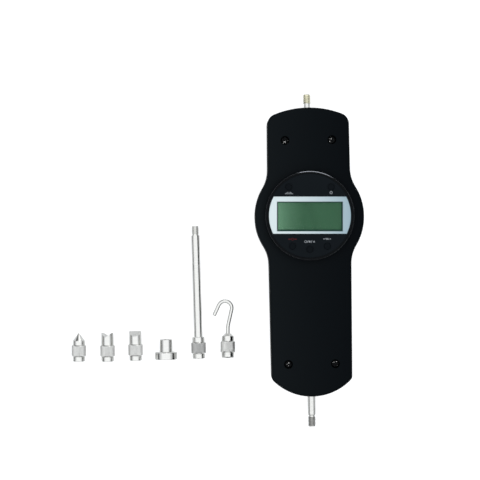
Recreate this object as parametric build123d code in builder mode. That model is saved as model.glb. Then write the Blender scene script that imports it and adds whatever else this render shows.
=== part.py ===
from build123d import *
from math import acos, atan2, cos, degrees, hypot, radians, sin, sqrt
import os

# Digital push-pull force gauge and its six measuring heads. Millimetres.
# Origin: middle of the rear mounting holes, on the flat back. +Z is the way the display faces,
# +Y runs along the measuring rod towards its short top stub, +X is right of the display.
# The gauge lies on its back on the plane Z = 0, with its heads on the same plane to the left.

# Case outline, as the front shows it
body_length = 216.4
waist_width = 62.6            # across the flanks where they meet the round middle
top_end_width = 61.5
bottom_end_width = 60.7
dial_y = 27.0                 # middle of the round part and of the display
dial_turn = -0.9              # degrees that the display sits turned in the case
round_rim = 7.9               # case round the display case
round_drop = 1.0              # straight run between the upper and lower rounding
blend_radius = 26.0           # hollow blend from flank to round part
top_arc_radius = 69.0
bottom_arc_radius = 41.0
top_corner_radius = 8.5
bottom_corner_radius = 5.0

# Case section
case_thickness = 38.0
parting_height = 19.0         # the halves meet on the rod's axis
wall = 2.6
draft_angle = 1.0
front_rim_fillet = 2.4
back_rim_fillet = 1.6
seam_chamfer = 0.3            # shadow line round the parting joint
lip_inset = 1.0
lip_width = 0.8
lip_height = 1.2
lip_gap = 0.1

# Running and assembly clearances
running_gap = 0.03            # rod in its bushes
guide_gap = 0.05              # carriage on its guide rod
fit_gap = 0.05                # pieces that are pressed or screwed home
loose_gap = 0.3               # holes that only let something pass

# Case screws: pan heads sunk in the front, threads in the back half
screw_x = 17.5
screw_end_distance = 24.7     # case screws from the ends of the case
screw_post_radius = 5.0
screw_sink_radius = 3.3
screw_sink_depth = 5.4
screw_head_radius = 2.8
screw_head_height = 2.1
screw_head_chamfer = 0.6
screw_shank_radius = 1.5
screw_shank_length = 24.0
cross_length = 3.2            # cross recess in each pan head
cross_width = 0.7
cross_depth = 1.1
post_web = 2.0

# Measuring rod
rod_height = parting_height
rod_radius = 3.0
thread_radius = 2.95          # M6, over the crests
neck_radius = 2.35
top_stub_length = 10.8        # out of the case at the top
top_thread_length = 6.9
top_neck_length = 4.6         # reaches just inside the case
bottom_stub_length = 23.7     # out of the case at the bottom
bottom_thread_length = 7.4
bottom_neck_length = 1.6
rod_end_chamfer = 0.5
rod_travel = 10.0             # each way, push and pull
rod_exit_radius = 3.5

# Bushes that carry the rod at both ends of the case
bush_radius = 5.0
bush_length = 10.0
bush_flange_radius = 6.5
bush_flange_width = 2.0
bush_outer_end = 3.4          # from the end of the case to the outer face of the bush
bush_block_width = 18.0
bush_block_back = 2.0         # block behind the bush

# Carriage clamped on the rod, under the display
carriage_length = 18.0
carriage_left = 11.0
carriage_right = 20.0
carriage_bottom = 13.0
carriage_top = 25.0
carriage_table_height = 2.7
carriage_table_width = 10.0
carriage_fillet = 1.2
strip_length = 24.0           # its table stays clear of the spring seat at full travel
strip_width = 8.0
strip_thickness = 0.8
guide_x = 16.0
guide_radius = 2.0
guide_end = 2.0               # guide rod beyond each rib
grub_radius = 1.5
grub_length = 6.0
clamp_slot_width = 1.0

# Cross ribs of the back half: two stop the carriage, the lowest carries a spring
rib_width = 3.0
rib_top = 24.5
rib_half_span = 24.0
lower_rib_half_span = 11.5
stop_gap = 0.4                # carriage to rib at full travel
rod_pass_radius = 4.0
lower_rib_distance = 20.2     # upper face of the lowest rib from the bottom end

# Springs each side of the collar
seat_radius = 8.0
seat_thickness = 2.0
seat_spigot_radius = 4.6
seat_spigot_length = 2.0
collar_radius = 8.0
collar_length = 8.0
spring_radius = 6.2           # to the middle of the wire
spring_turns = 5.0
spring_wire_width = 1.3
spring_wire_height = 1.7

# Display case
display_radius = 33.1
display_gap = 0.2             # display case in the opening of the front
display_proud = 6.0
display_chamfer = 0.9
display_rim = 1.7             # wall of the rim round the face
display_depth = 14.0
display_floor = 1.6
flange_width = 4.3
flange_thickness = 2.2
panel_ledge = 1.4
board_ledge = 2.2
flange_screw_edge = 2.0       # flange screws from the edge of the flange
flange_screw_radius = 1.0
flange_screw_head_radius = 1.7
flange_screw_head_height = 1.2
flange_screw_bite = 1.7

# Face of the display, counted down from the rim
face_sink = 0.4               # face panel below the rim
panel_thickness = 1.7
panel_gap = 0.2
frame_inset = 0.8             # rounded ends of the silver frame inside the edge of the panel
band_height = 27.6            # silver frame across the face
band_rise = 0.4               # above the middle of the display
band_gap = 0.1
frame_sink = 0.4              # silver frame below the face panel
frame_thickness = 0.8
window_side = 6.1             # window from the rounded ends of the frame
window_top = 3.9              # window from the straight edges of the frame
window_bottom = 1.9
window_bevel = 0.35
window_thickness = 0.5
window_border = 0.9           # clear window under the frame, each side
lcd_border = 1.8              # display cell beyond the window, each side
lcd_thickness = 2.5
strip_connector_width = 1.2
strip_connector_height = 0.8
board_thickness = 1.6
board_gap = 0.3
connector_length = 12.0
connector_width = 2.5
connector_y = 12.0            # above the middle of the display
reader_width = 14.0
reader_length = 40.0
reader_thickness = 1.2
chip_size = 9.0
chip_height = 1.2

# Buttons on the face: distance in from the edge of the panel, and degrees round from the right
upper_button_inset = 4.7
lower_button_inset = 5.2
unit_button_inset = 6.4
button_angles_insets = {
    "peak_button": (126.4, upper_button_inset),
    "power_button": (53.6, upper_button_inset),
    "zero_button": (240.3, lower_button_inset),
    "unit_button": (270.0, unit_button_inset),
    "data_button": (299.7, lower_button_inset),
}
button_radius = 2.5
button_gap = 0.15
button_proud = 0.5
button_chamfer = 0.3
button_flange_radius = 3.2
button_flange_height = 0.9
button_rest_gap = 0.2         # flange under the panel
button_stem_radius = 1.0
button_travel = 0.6           # down to the bottom of the well in the switch
switch_size = 4.6
switch_height = 1.4
switch_well_radius = 1.3
stem_reach = 0.1              # stem into the switch at rest

# Rear mounting holes for a test stand, M5
mount_spacing_x = 36.0
mount_spacing_y = 60.0
mount_hole_radius = 2.1
mount_hole_depth = 8.5
mount_boss_radius = 5.0
mount_boss_height = 10.0

# Coin cell under a bayonet cover in the back
battery_y = -56.0
battery_radius = 10.0
battery_thickness = 3.2
battery_pocket_radius = 11.5
battery_boss_radius = 14.5
battery_pocket_depth = 8.0
battery_roof = 1.4
battery_gap = 0.1             # cell above the cover
cover_sink = 0.3
cover_thickness = 2.0
cover_gap = 0.15
coin_slot_length = 14.0
coin_slot_width = 1.8
coin_slot_depth = 1.0
lug_reach = 1.2
lug_height = 0.8
lug_z = 1.2
lug_width = 5.0
lug_gap = 0.2
entry_turn = -45.0            # degrees from locked to free
contact_width = 6.0
contact_span = 16.0
contact_thickness = 0.4

# Data socket in the right wall of the round part
data_board_height = 9.0
data_board_inset = 5.0        # board from the outside of the round part
data_board_gap = 1.0          # board from the mounting bosses
data_board_width = 18.0
data_post_inset = 3.0         # posts from the inner end of the board
data_screw_bite = 3.2
data_post_spread = 6.0
data_post_radius = 2.4
port_width = 9.0
port_height = 4.2
port_depth = 7.2
port_sink = 0.4
port_wall = 0.5
port_mouth_depth = 5.5
port_tongue_width = 5.6
port_tongue_height = 0.7

# Measuring heads: the socket end that most of them share
socket_radius = 2.5           # M6, tapping size
socket_depth = 9.0
socket_chamfer = 0.5
base_radius = 4.75
base_length = 4.1
knurl_radius = 5.65
knurl_length = 8.3
knurl_chamfer = 0.45
shoulder_radius = 4.7
edge_chamfer = 0.35

cone_shoulder_length = 3.7
cone_length = 5.7
cone_tip_radius = 0.35
notch_body_length = 9.9
notch_depth = 3.8
notch_roll = -18.0            # degrees that the V is turned about the head's axis
chisel_body_length = 10.2
chisel_wedge_length = 3.9
chisel_edge = 0.6
flat_disc_radius = 8.5
flat_disc_thickness = 5.6      # thick enough that the head balances on its rim
flat_stem_radius = 4.85
flat_stem_length = 9.8
flat_socket_depth = 11.0
extension_shoulder_length = 4.1
extension_length = 101.5
extension_radius = 3.25
extension_thread_length = 6.4
extension_neck_length = 1.0
hook_shoulder_length = 4.0
hook_cone_length = 2.0
hook_cone_radius = 2.3
hook_wire_radius = 1.5
hook_wire_start = 11.5        # wire brazed into the collar from here
hook_straight_end = 22.0
hook_sway = 12.5              # degrees
hook_sway_radius = 18.0
hook_rise = 11.4
hook_bend_radius = 5.2
hook_bend = 168.0             # degrees
hook_tail = 8.9
hook_tip_chamfer = 0.4
hook_bore_gap = 0.03

# Where each head's socket end lies, and the way it points in degrees from +Y
cone_place = (-176.7, -81.1)
cone_heading = -0.6
notch_place = (-154.7, -81.5)
notch_heading = -0.2
chisel_place = (-133.3, -81.1)
chisel_heading = 0.0
flat_place = (-109.8, -65.0)
flat_heading = 179.6
extension_place = (-85.0, -80.3)
extension_heading = 0.8
hook_place = (-62.9, -79.9)
hook_heading = -0.9

# Cuts run past the faces that they open
cut_margin = 1.0

# Levels and places worked out from the sizes above
round_radius = display_radius + round_rim
top_end = body_length / 2
bottom_end = -body_length / 2
inner_front = case_thickness - wall
rim_top = case_thickness + display_proud
display_bottom = rim_top - display_depth
panel_top = rim_top - face_sink
panel_bottom = panel_top - panel_thickness
frame_top = panel_top - frame_sink
frame_bottom = frame_top - frame_thickness
lcd_top = frame_bottom - window_thickness
lcd_bottom = lcd_top - lcd_thickness
board_top = lcd_bottom - strip_connector_height
board_bottom = board_top - board_thickness
reader_bottom = display_bottom - reader_thickness
strip_top = carriage_top + carriage_table_height + strip_thickness
button_top = panel_top + button_proud
button_flange_top = panel_bottom - button_rest_gap
button_flange_bottom = button_flange_top - button_flange_height
switch_top = board_top + switch_height
upper_rib_y = dial_y + carriage_length / 2 + rod_travel + stop_gap
lower_rib_y = bottom_end + lower_rib_distance
middle_rib_y = dial_y - carriage_length / 2 - rod_travel - stop_gap - rib_width
upper_seat_y = middle_rib_y - seat_thickness
lower_seat_y = lower_rib_y + seat_thickness
collar_y = (upper_seat_y + lower_seat_y) / 2
spring_length = (upper_seat_y - lower_seat_y - collar_length) / 2
panel_seat_radius = display_radius - display_rim
panel_radius = panel_seat_radius - panel_gap
frame_radius = panel_radius - frame_inset
window_width = 2 * (frame_radius - window_side)
window_height = band_height - window_top - window_bottom
window_y = band_rise + (window_bottom - window_top) / 2
flange_radius = display_radius + flange_width
flange_screw_ring = flange_radius - flange_screw_edge
data_board_right = round_radius - data_board_inset
data_board_left = mount_spacing_x / 2 + mount_boss_radius + data_board_gap
data_posts = [
    (data_board_left + data_post_inset, dial_y - data_post_spread),
    (data_board_left + data_post_inset, dial_y + data_post_spread),
]
screw_y = body_length / 2 - screw_end_distance
button_places = {
    name: ((panel_radius - inset) * cos(radians(angle)), (panel_radius - inset) * sin(radians(angle)))
    for name, (angle, inset) in button_angles_insets.items()
}
rod_axis = Axis((0, 0, rod_height), (0, 1, 0))
dial_axis = Axis((0, dial_y, 0), (0, 0, 1))
dial_profile_plane = Plane.XZ.offset(-dial_y)
battery_profile_plane = Plane.XZ.offset(-battery_y)
screw_places = [(x, y) for x in (-screw_x, screw_x) for y in (-screw_y, screw_y)]


def case_outline(inset=0.0):
    """Outline of the case, or a line a constant distance inside it."""
    half_top = top_end_width / 2
    half_bottom = bottom_end_width / 2
    half_waist = waist_width / 2
    top_shoulder = top_end - top_arc_radius + sqrt(top_arc_radius**2 - half_top**2)
    bottom_shoulder = bottom_end + bottom_arc_radius - sqrt(bottom_arc_radius**2 - half_bottom**2)
    with BuildSketch() as outline:
        with BuildLine():
            Polyline((half_bottom, bottom_shoulder), (half_waist, dial_y), (half_top, top_shoulder))
            ThreePointArc((half_top, top_shoulder), (0, top_end), (-half_top, top_shoulder))
            Polyline((-half_top, top_shoulder), (-half_waist, dial_y), (-half_bottom, bottom_shoulder))
            ThreePointArc((-half_bottom, bottom_shoulder), (0, bottom_end), (half_bottom, bottom_shoulder))
        make_face()
        fillet(outline.vertices().group_by(Axis.Y)[-1], top_corner_radius)
        fillet(outline.vertices().group_by(Axis.Y)[0], bottom_corner_radius)
        with Locations((0, dial_y - round_drop / 2)):
            SlotCenterToCenter(round_drop, 2 * round_radius, rotation=90)
        joins = outline.vertices().filter_by(
            lambda v: abs(v.Y - dial_y) < round_radius and abs(v.X) < waist_width / 2 + cut_margin
        )
        fillet(joins, blend_radius)
        if inset:
            offset(amount=-inset, mode=Mode.REPLACE)
    return outline.sketch


def half_profile(plane, points):
    """Closed outline on a plane, ready to be turned about the plane's own Y."""
    with BuildSketch(plane) as profile:
        with BuildLine():
            Polyline(*points, close=True)
        make_face()
    return profile.sketch


def dial_plane(height):
    """Plane of the display at a height: origin in its middle, X along its silver frame."""
    return Plane(origin=(0, dial_y, height)).rotated((0, 0, dial_turn))


def across_rod(y):
    """Plane square to the rod, with its origin on the rod's axis."""
    return Plane(origin=(0, y, rod_height), x_dir=(1, 0, 0), z_dir=(0, 1, 0))


# ---------------------------------------------------------------- case halves

outer = case_outline()
inner = case_outline(wall)
lip_ring = case_outline(lip_inset) - case_outline(lip_inset + lip_width)
groove_ring = case_outline(lip_inset - lip_gap) - case_outline(lip_inset + lip_width + lip_gap)
parting_plane = Plane.XY.offset(parting_height)
front_depth = case_thickness - parting_height
bush_block_length = bush_outer_end + bush_length + bush_block_back - wall / 2
block_places = [
    (0, top_end - wall / 2 - bush_block_length / 2),
    (0, bottom_end + wall / 2 + bush_block_length / 2),
]
top_bush_y = top_end - bush_outer_end - bush_length
bottom_bush_y = bottom_end + bush_outer_end

with BuildPart() as front_housing:
    extrude(parting_plane * outer, amount=front_depth, taper=draft_angle)
    fillet(front_housing.faces().sort_by(Axis.Z)[-1].edges(), front_rim_fillet)
    extrude(parting_plane * inner, amount=front_depth - wall, taper=draft_angle, mode=Mode.SUBTRACT)
    chamfer(front_housing.faces().sort_by(Axis.Z)[0].outer_wire().edges(), seam_chamfer)
    # Screw posts, each tied to the flank by a web, and the blocks that hold the bushes
    with BuildSketch(parting_plane):
        with Locations(*screw_places):
            Circle(screw_post_radius)
        for x, y in screw_places:
            web_length = bottom_end_width / 2 - wall / 2 - screw_x
            with Locations((x + (web_length / 2 if x > 0 else -web_length / 2), y)):
                Rectangle(web_length, post_web)
        with Locations(*block_places):
            Rectangle(bush_block_width, bush_block_length)
    extrude(amount=front_depth - wall / 2)
    # Groove for the lip of the back half
    extrude(parting_plane * groove_ring, amount=lip_height + lip_gap, mode=Mode.SUBTRACT)
    # Rod exits, bush bores and the grooves for their flanges
    with BuildSketch(across_rod(bottom_end - cut_margin)):
        Circle(rod_exit_radius)
    extrude(amount=body_length + 2 * cut_margin, mode=Mode.SUBTRACT)
    for y in (top_bush_y, bottom_bush_y):
        with BuildSketch(across_rod(y)):
            Circle(bush_radius + fit_gap)
        extrude(amount=bush_length, mode=Mode.SUBTRACT)
        with BuildSketch(across_rod(y + (bush_length - bush_flange_width) / 2 - fit_gap)):
            Circle(bush_flange_radius + fit_gap)
        extrude(amount=bush_flange_width + 2 * fit_gap, mode=Mode.SUBTRACT)
    # Sunk screws
    with BuildSketch(Plane.XY.offset(case_thickness)):
        with Locations(*screw_places):
            Circle(screw_sink_radius)
    extrude(amount=-screw_sink_depth, mode=Mode.SUBTRACT)
    with BuildSketch(parting_plane):
        with Locations(*screw_places):
            Circle(screw_shank_radius + loose_gap)
    extrude(amount=front_depth, mode=Mode.SUBTRACT)
    # Opening for the display case, with blind holes for its flange screws
    with BuildSketch(Plane.XY.offset(case_thickness)):
        with Locations((0, dial_y)):
            Circle(display_radius + display_gap)
    extrude(amount=-2 * wall, mode=Mode.SUBTRACT)
    with BuildSketch(Plane.XY.offset(inner_front)):
        with Locations((0, dial_y)):
            with PolarLocations(flange_screw_ring, 3, start_angle=90):
                Circle(flange_screw_radius + fit_gap)
    extrude(amount=flange_screw_bite, mode=Mode.SUBTRACT)

with BuildPart() as rear_housing:
    extrude(parting_plane * outer, amount=parting_height, dir=(0, 0, -1), taper=draft_angle)
    fillet(rear_housing.faces().sort_by(Axis.Z)[0].edges(), back_rim_fillet)
    extrude(
        parting_plane * inner,
        amount=parting_height - wall,
        dir=(0, 0, -1),
        taper=draft_angle,
        mode=Mode.SUBTRACT,
    )
    chamfer(rear_housing.faces().sort_by(Axis.Z)[-1].outer_wire().edges(), seam_chamfer)
    # Lip that locates the front half
    extrude(parting_plane * lip_ring, amount=lip_height)
    extrude(parting_plane * lip_ring, amount=-wall)
    # Screw posts and bush blocks, up to the parting plane
    with BuildSketch(Plane.XY.offset(wall / 2)):
        with Locations(*screw_places):
            Circle(screw_post_radius)
        for x, y in screw_places:
            web_length = bottom_end_width / 2 - wall / 2 - screw_x
            with Locations((x + (web_length / 2 if x > 0 else -web_length / 2), y)):
                Rectangle(web_length, post_web)
        with Locations(*block_places):
            Rectangle(bush_block_width, bush_block_length)
    extrude(amount=parting_height - wall / 2)
    # Cross ribs: two stop the carriage, the middle and the lowest carry the springs
    with BuildSketch(Plane.XY.offset(wall / 2)):
        with Locations((0, upper_rib_y + rib_width / 2), (0, middle_rib_y + rib_width / 2)):
            Rectangle(2 * rib_half_span, rib_width)
        with Locations((0, lower_rib_y - rib_width / 2)):
            Rectangle(2 * lower_rib_half_span, rib_width)
    extrude(amount=rib_top - wall / 2)
    # Bosses of the mounting holes, the battery pocket and the data board
    with BuildSketch(Plane.XY.offset(wall / 2)):
        with GridLocations(mount_spacing_x, mount_spacing_y, 2, 2):
            Circle(mount_boss_radius)
    extrude(amount=mount_boss_height - wall / 2)
    with BuildSketch(Plane.XY.offset(wall / 2)):
        with Locations((0, battery_y)):
            Circle(battery_boss_radius)
    extrude(amount=battery_pocket_depth + battery_roof - wall / 2)
    with BuildSketch(Plane.XY.offset(wall / 2)):
        with Locations(*data_posts):
            Circle(data_post_radius)
    extrude(amount=data_board_height - wall / 2)
    # Rod exits, bush bores and the grooves for their flanges
    with BuildSketch(across_rod(bottom_end - cut_margin)):
        Circle(rod_exit_radius)
    extrude(amount=body_length + 2 * cut_margin, mode=Mode.SUBTRACT)
    for y in (top_bush_y, bottom_bush_y):
        with BuildSketch(across_rod(y)):
            Circle(bush_radius + fit_gap)
        extrude(amount=bush_length, mode=Mode.SUBTRACT)
        with BuildSketch(across_rod(y + (bush_length - bush_flange_width) / 2 - fit_gap)):
            Circle(bush_flange_radius + fit_gap)
        extrude(amount=bush_flange_width + 2 * fit_gap, mode=Mode.SUBTRACT)
    # Rod and guide rod through the ribs
    with BuildSketch(across_rod(lower_rib_y - rib_width - cut_margin)):
        Circle(rod_pass_radius)
    extrude(amount=upper_rib_y - lower_rib_y + 2 * (rib_width + cut_margin), mode=Mode.SUBTRACT)
    with BuildSketch(across_rod(middle_rib_y - cut_margin)):
        with Locations((guide_x, 0)):
            Circle(guide_radius + fit_gap)
    extrude(amount=upper_rib_y - middle_rib_y + rib_width + 2 * cut_margin, mode=Mode.SUBTRACT)
    # Threads of the case screws
    with BuildSketch(parting_plane):
        with Locations(*screw_places):
            Circle(screw_shank_radius + fit_gap)
    extrude(amount=-(screw_shank_length + screw_sink_depth - front_depth + cut_margin), mode=Mode.SUBTRACT)
    # Mounting holes
    with BuildSketch():
        with GridLocations(mount_spacing_x, mount_spacing_y, 2, 2):
            Circle(mount_hole_radius)
    extrude(amount=mount_hole_depth, mode=Mode.SUBTRACT)
    # Battery pocket with its bayonet groove and the two ways in for the lugs
    with BuildSketch():
        with Locations((0, battery_y)):
            Circle(battery_pocket_radius)
    extrude(amount=battery_pocket_depth, mode=Mode.SUBTRACT)
    with BuildSketch(Plane.XY.offset(lug_z - lug_gap)):
        with Locations((0, battery_y)):
            Circle(battery_pocket_radius + lug_reach + lug_gap)
    extrude(amount=lug_height + 2 * lug_gap, mode=Mode.SUBTRACT)
    with BuildSketch():
        with Locations(Location((0, battery_y), entry_turn)):
            Rectangle(2 * (battery_pocket_radius + lug_reach + lug_gap), lug_width + 2 * lug_gap)
    extrude(amount=lug_z, mode=Mode.SUBTRACT)
    # Mouth of the data socket
    with BuildSketch(Plane.YZ.offset(data_board_right)):
        with Locations((dial_y, data_board_height + reader_thickness + port_height / 2)):
            Rectangle(port_width + loose_gap, port_height + loose_gap)
    extrude(amount=round_radius, mode=Mode.SUBTRACT)
    with BuildSketch(Plane.XY.offset(data_board_height)):
        with Locations(*data_posts):
            Circle(flange_screw_radius + fit_gap)
    extrude(amount=-data_screw_bite - loose_gap, mode=Mode.SUBTRACT)

with BuildPart() as housing_screws:
    head_bottom = case_thickness - screw_sink_depth
    with BuildSketch(Plane.XY.offset(head_bottom)):
        with Locations(*screw_places):
            Circle(screw_head_radius)
    extrude(amount=screw_head_height)
    chamfer(housing_screws.faces().group_by(Axis.Z)[-1].edges(), screw_head_chamfer)
    with BuildSketch(Plane.XY.offset(head_bottom)):
        with Locations(*screw_places):
            Circle(screw_shank_radius)
    extrude(amount=-screw_shank_length)
    with BuildSketch(Plane.XY.offset(head_bottom + screw_head_height)):
        with Locations(*screw_places):
            Rectangle(cross_length, cross_width, rotation=30)
            Rectangle(cross_length, cross_width, rotation=120)
    extrude(amount=-cross_depth, mode=Mode.SUBTRACT)

# ---------------------------------------------------------------- rod, guide and springs

rod_top = top_end + top_stub_length
rod_bottom = bottom_end - bottom_stub_length

with BuildPart() as measuring_rod:
    top_neck_start = rod_top - top_thread_length - top_neck_length
    bottom_neck_end = rod_bottom + bottom_thread_length + bottom_neck_length
    revolve(
        half_profile(
            Plane.XY.offset(rod_height),
            [
                (0, rod_bottom),
                (thread_radius - rod_end_chamfer, rod_bottom),
                (thread_radius, rod_bottom + rod_end_chamfer),
                (thread_radius, bottom_neck_end - bottom_neck_length),
                (neck_radius, bottom_neck_end - bottom_neck_length),
                (neck_radius, bottom_neck_end - rod_end_chamfer),
                (rod_radius, bottom_neck_end),
                (rod_radius, top_neck_start),
                (neck_radius, top_neck_start + rod_end_chamfer),
                (neck_radius, top_neck_start + top_neck_length),
                (thread_radius, top_neck_start + top_neck_length),
                (thread_radius, rod_top - rod_end_chamfer),
                (thread_radius - rod_end_chamfer, rod_top),
                (0, rod_top),
            ],
        ),
        axis=rod_axis,
    )


def rod_bush(y):
    """Half profile of a flanged bush that starts at y."""
    bore = rod_radius + running_gap
    flange_y = y + (bush_length - bush_flange_width) / 2
    return half_profile(
        Plane.XY.offset(rod_height),
        [
            (bore, y),
            (bush_radius, y),
            (bush_radius, flange_y),
            (bush_flange_radius, flange_y),
            (bush_flange_radius, flange_y + bush_flange_width),
            (bush_radius, flange_y + bush_flange_width),
            (bush_radius, y + bush_length),
            (bore, y + bush_length),
        ],
    )


with BuildPart() as upper_rod_bush:
    revolve(rod_bush(top_bush_y), axis=rod_axis)

with BuildPart() as lower_rod_bush:
    revolve(rod_bush(bottom_bush_y), axis=rod_axis)

with BuildPart() as rod_carriage:
    with BuildSketch(Plane.XY.offset(carriage_bottom)):
        with Locations(((carriage_right - carriage_left) / 2, dial_y)):
            RectangleRounded(carriage_left + carriage_right, carriage_length, carriage_fillet)
    extrude(amount=carriage_top - carriage_bottom)
    with BuildSketch(Plane.XY.offset(carriage_top)):
        with Locations((0, dial_y)):
            RectangleRounded(carriage_table_width, strip_length, carriage_fillet)
    extrude(amount=carriage_table_height)
    with BuildSketch(across_rod(dial_y - carriage_length)):
        Circle(rod_radius + fit_gap)
        with Locations((guide_x, 0)):
            Circle(guide_radius + guide_gap)
    extrude(amount=2 * carriage_length, mode=Mode.SUBTRACT)
    # Clamp slot beside the rod, and the hole of its grub screw
    with BuildSketch(Plane.XY.offset(carriage_bottom)):
        with Locations((-rod_radius - clamp_slot_width, dial_y)):
            Rectangle(clamp_slot_width, carriage_length)
    extrude(amount=rod_height - carriage_bottom, mode=Mode.SUBTRACT)
    with BuildSketch(Plane.YZ.offset(-carriage_left)):
        with Locations((dial_y, rod_height)):
            Circle(grub_radius + fit_gap)
    extrude(amount=carriage_left, mode=Mode.SUBTRACT)

with BuildPart() as carriage_screw:
    with BuildSketch(Plane.YZ.offset(-rod_radius)):
        with Locations((dial_y, rod_height)):
            Circle(grub_radius)
    extrude(amount=-grub_length)

with BuildPart() as scale_strip:
    with BuildSketch(Plane.XY.offset(strip_top - strip_thickness)):
        with Locations((0, dial_y)):
            Rectangle(strip_width, strip_length)
    extrude(amount=strip_thickness)

with BuildPart() as guide_rod:
    with BuildSketch(across_rod(middle_rib_y - guide_end)):
        with Locations((guide_x, 0)):
            Circle(guide_radius)
    extrude(amount=upper_rib_y - middle_rib_y + rib_width + 2 * guide_end)
    chamfer(guide_rod.edges().filter_by(GeomType.CIRCLE), edge_chamfer)

with BuildPart() as rod_collar:
    with BuildSketch(across_rod(collar_y - collar_length / 2)):
        Circle(collar_radius)
        Circle(rod_radius + fit_gap, mode=Mode.SUBTRACT)
    extrude(amount=collar_length)
    chamfer(rod_collar.edges().filter_by(GeomType.CIRCLE).group_by(SortBy.RADIUS)[-1], edge_chamfer)
    with BuildSketch(parting_plane):
        with Locations((0, collar_y)):
            Circle(grub_radius + fit_gap)
    extrude(amount=collar_radius, mode=Mode.SUBTRACT)

with BuildPart() as collar_screw:
    with BuildSketch(Plane.XY.offset(rod_height + rod_radius)):
        with Locations((0, collar_y)):
            Circle(grub_radius)
    extrude(amount=collar_radius - rod_radius - edge_chamfer)


def spring_seat(face_y, toward):
    """Half profile of a stepped washer that stands on a rib at face_y."""
    bore = rod_radius + loose_gap
    return half_profile(
        Plane.XY.offset(rod_height),
        [
            (bore, face_y),
            (seat_radius, face_y),
            (seat_radius, face_y + toward * seat_thickness),
            (seat_spigot_radius, face_y + toward * seat_thickness),
            (seat_spigot_radius, face_y + toward * (seat_thickness + seat_spigot_length)),
            (bore, face_y + toward * (seat_thickness + seat_spigot_length)),
        ],
    )


with BuildPart() as upper_spring_seat:
    revolve(spring_seat(middle_rib_y, -1), axis=rod_axis)

with BuildPart() as lower_spring_seat:
    revolve(spring_seat(lower_rib_y, 1), axis=rod_axis)


def coil(start_y):
    """Centre line of a spring whose flat wire just fits between start_y and the next seat."""
    rise = spring_length - spring_wire_height
    return Helix(
        pitch=rise / spring_turns,
        height=rise,
        radius=spring_radius,
        center=(0, start_y + spring_wire_height / 2, rod_height),
        direction=(0, 1, 0),
    )


springs = {}
for spring_name, start_y in (
    ("upper_spring", collar_y + collar_length / 2),
    ("lower_spring", lower_seat_y),
):
    with BuildPart() as spring:
        with BuildLine() as spring_line:
            add(coil(start_y))
        start = spring_line.line @ 0
        outward = Vector(start.X, 0, start.Z - rod_height)
        with BuildSketch(Plane(origin=start, x_dir=outward, z_dir=spring_line.line % 0)):
            Rectangle(spring_wire_width, spring_wire_height)
        sweep(is_frenet=True)
    springs[spring_name] = spring

# ---------------------------------------------------------------- display

board_radius = panel_seat_radius - panel_ledge - board_gap

with BuildPart() as display_case:
    revolve(
        half_profile(
            dial_profile_plane,
            [
                (0, display_bottom),
                (display_radius, display_bottom),
                (display_radius, inner_front - flange_thickness),
                (flange_radius, inner_front - flange_thickness),
                (flange_radius, inner_front),
                (display_radius, inner_front),
                (display_radius, rim_top - display_chamfer),
                (display_radius - display_chamfer, rim_top),
                (panel_seat_radius, rim_top),
                (panel_seat_radius, panel_bottom),
                (panel_seat_radius - panel_ledge, panel_bottom),
                (panel_seat_radius - panel_ledge, board_bottom),
                (panel_seat_radius - panel_ledge - board_ledge, board_bottom),
                (panel_seat_radius - panel_ledge - board_ledge, display_bottom + display_floor),
                (0, display_bottom + display_floor),
            ],
        ),
        axis=dial_axis,
    )
    with BuildSketch(Plane.XY.offset(display_bottom)):
        with Locations((0, dial_y + connector_y)):
            Rectangle(connector_length + 2 * loose_gap, connector_width + 2 * loose_gap)
    extrude(amount=display_floor, mode=Mode.SUBTRACT)
    with BuildSketch(Plane.XY.offset(inner_front)):
        with Locations((0, dial_y)):
            with PolarLocations(flange_screw_ring, 3, start_angle=90):
                Circle(flange_screw_radius + fit_gap)
    extrude(amount=-flange_thickness, mode=Mode.SUBTRACT)

with BuildPart() as display_case_screws:
    with BuildSketch(Plane.XY.offset(inner_front - flange_thickness)):
        with Locations((0, dial_y)):
            with PolarLocations(flange_screw_ring, 3, start_angle=90):
                Circle(flange_screw_head_radius)
    extrude(amount=-flange_screw_head_height)
    with BuildSketch(Plane.XY.offset(inner_front - flange_thickness)):
        with Locations((0, dial_y)):
            with PolarLocations(flange_screw_ring, 3, start_angle=90):
                Circle(flange_screw_radius)
    extrude(amount=flange_thickness + flange_screw_bite - fit_gap)

with BuildPart() as face_panel:
    with BuildSketch(dial_plane(panel_bottom)):
        Circle(panel_radius)
    extrude(amount=panel_thickness)
    # Recess for the silver frame, the hole for the clear window under it, and the button holes
    with BuildSketch(dial_plane(frame_bottom)):
        Circle(frame_radius + band_gap)
        with Locations((0, band_rise)):
            Rectangle(2 * display_radius, band_height + 2 * band_gap, mode=Mode.INTERSECT)
    extrude(amount=panel_thickness, mode=Mode.SUBTRACT)
    with BuildSketch(dial_plane(panel_bottom)):
        with Locations((0, window_y)):
            hole_border = window_border + band_gap
            Rectangle(window_width + 2 * hole_border, window_height + 2 * hole_border)
        with Locations(*button_places.values()):
            Circle(button_radius + button_gap)
    extrude(amount=panel_thickness, mode=Mode.SUBTRACT)

with BuildPart() as display_frame:
    with BuildSketch(dial_plane(frame_bottom)):
        Circle(frame_radius)
        with Locations((0, band_rise)):
            Rectangle(2 * display_radius, band_height, mode=Mode.INTERSECT)
        with Locations((0, window_y)):
            Rectangle(window_width, window_height, mode=Mode.SUBTRACT)
    extrude(amount=frame_thickness)
    opening_edges = display_frame.faces().sort_by(Axis.Z)[-1].inner_wires()[0].edges()
    chamfer(opening_edges, window_bevel)

with BuildPart() as lcd_window:
    with BuildSketch(dial_plane(lcd_top)):
        with Locations((0, window_y)):
            Rectangle(window_width + 2 * window_border, window_height + 2 * window_border)
    extrude(amount=window_thickness)

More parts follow.
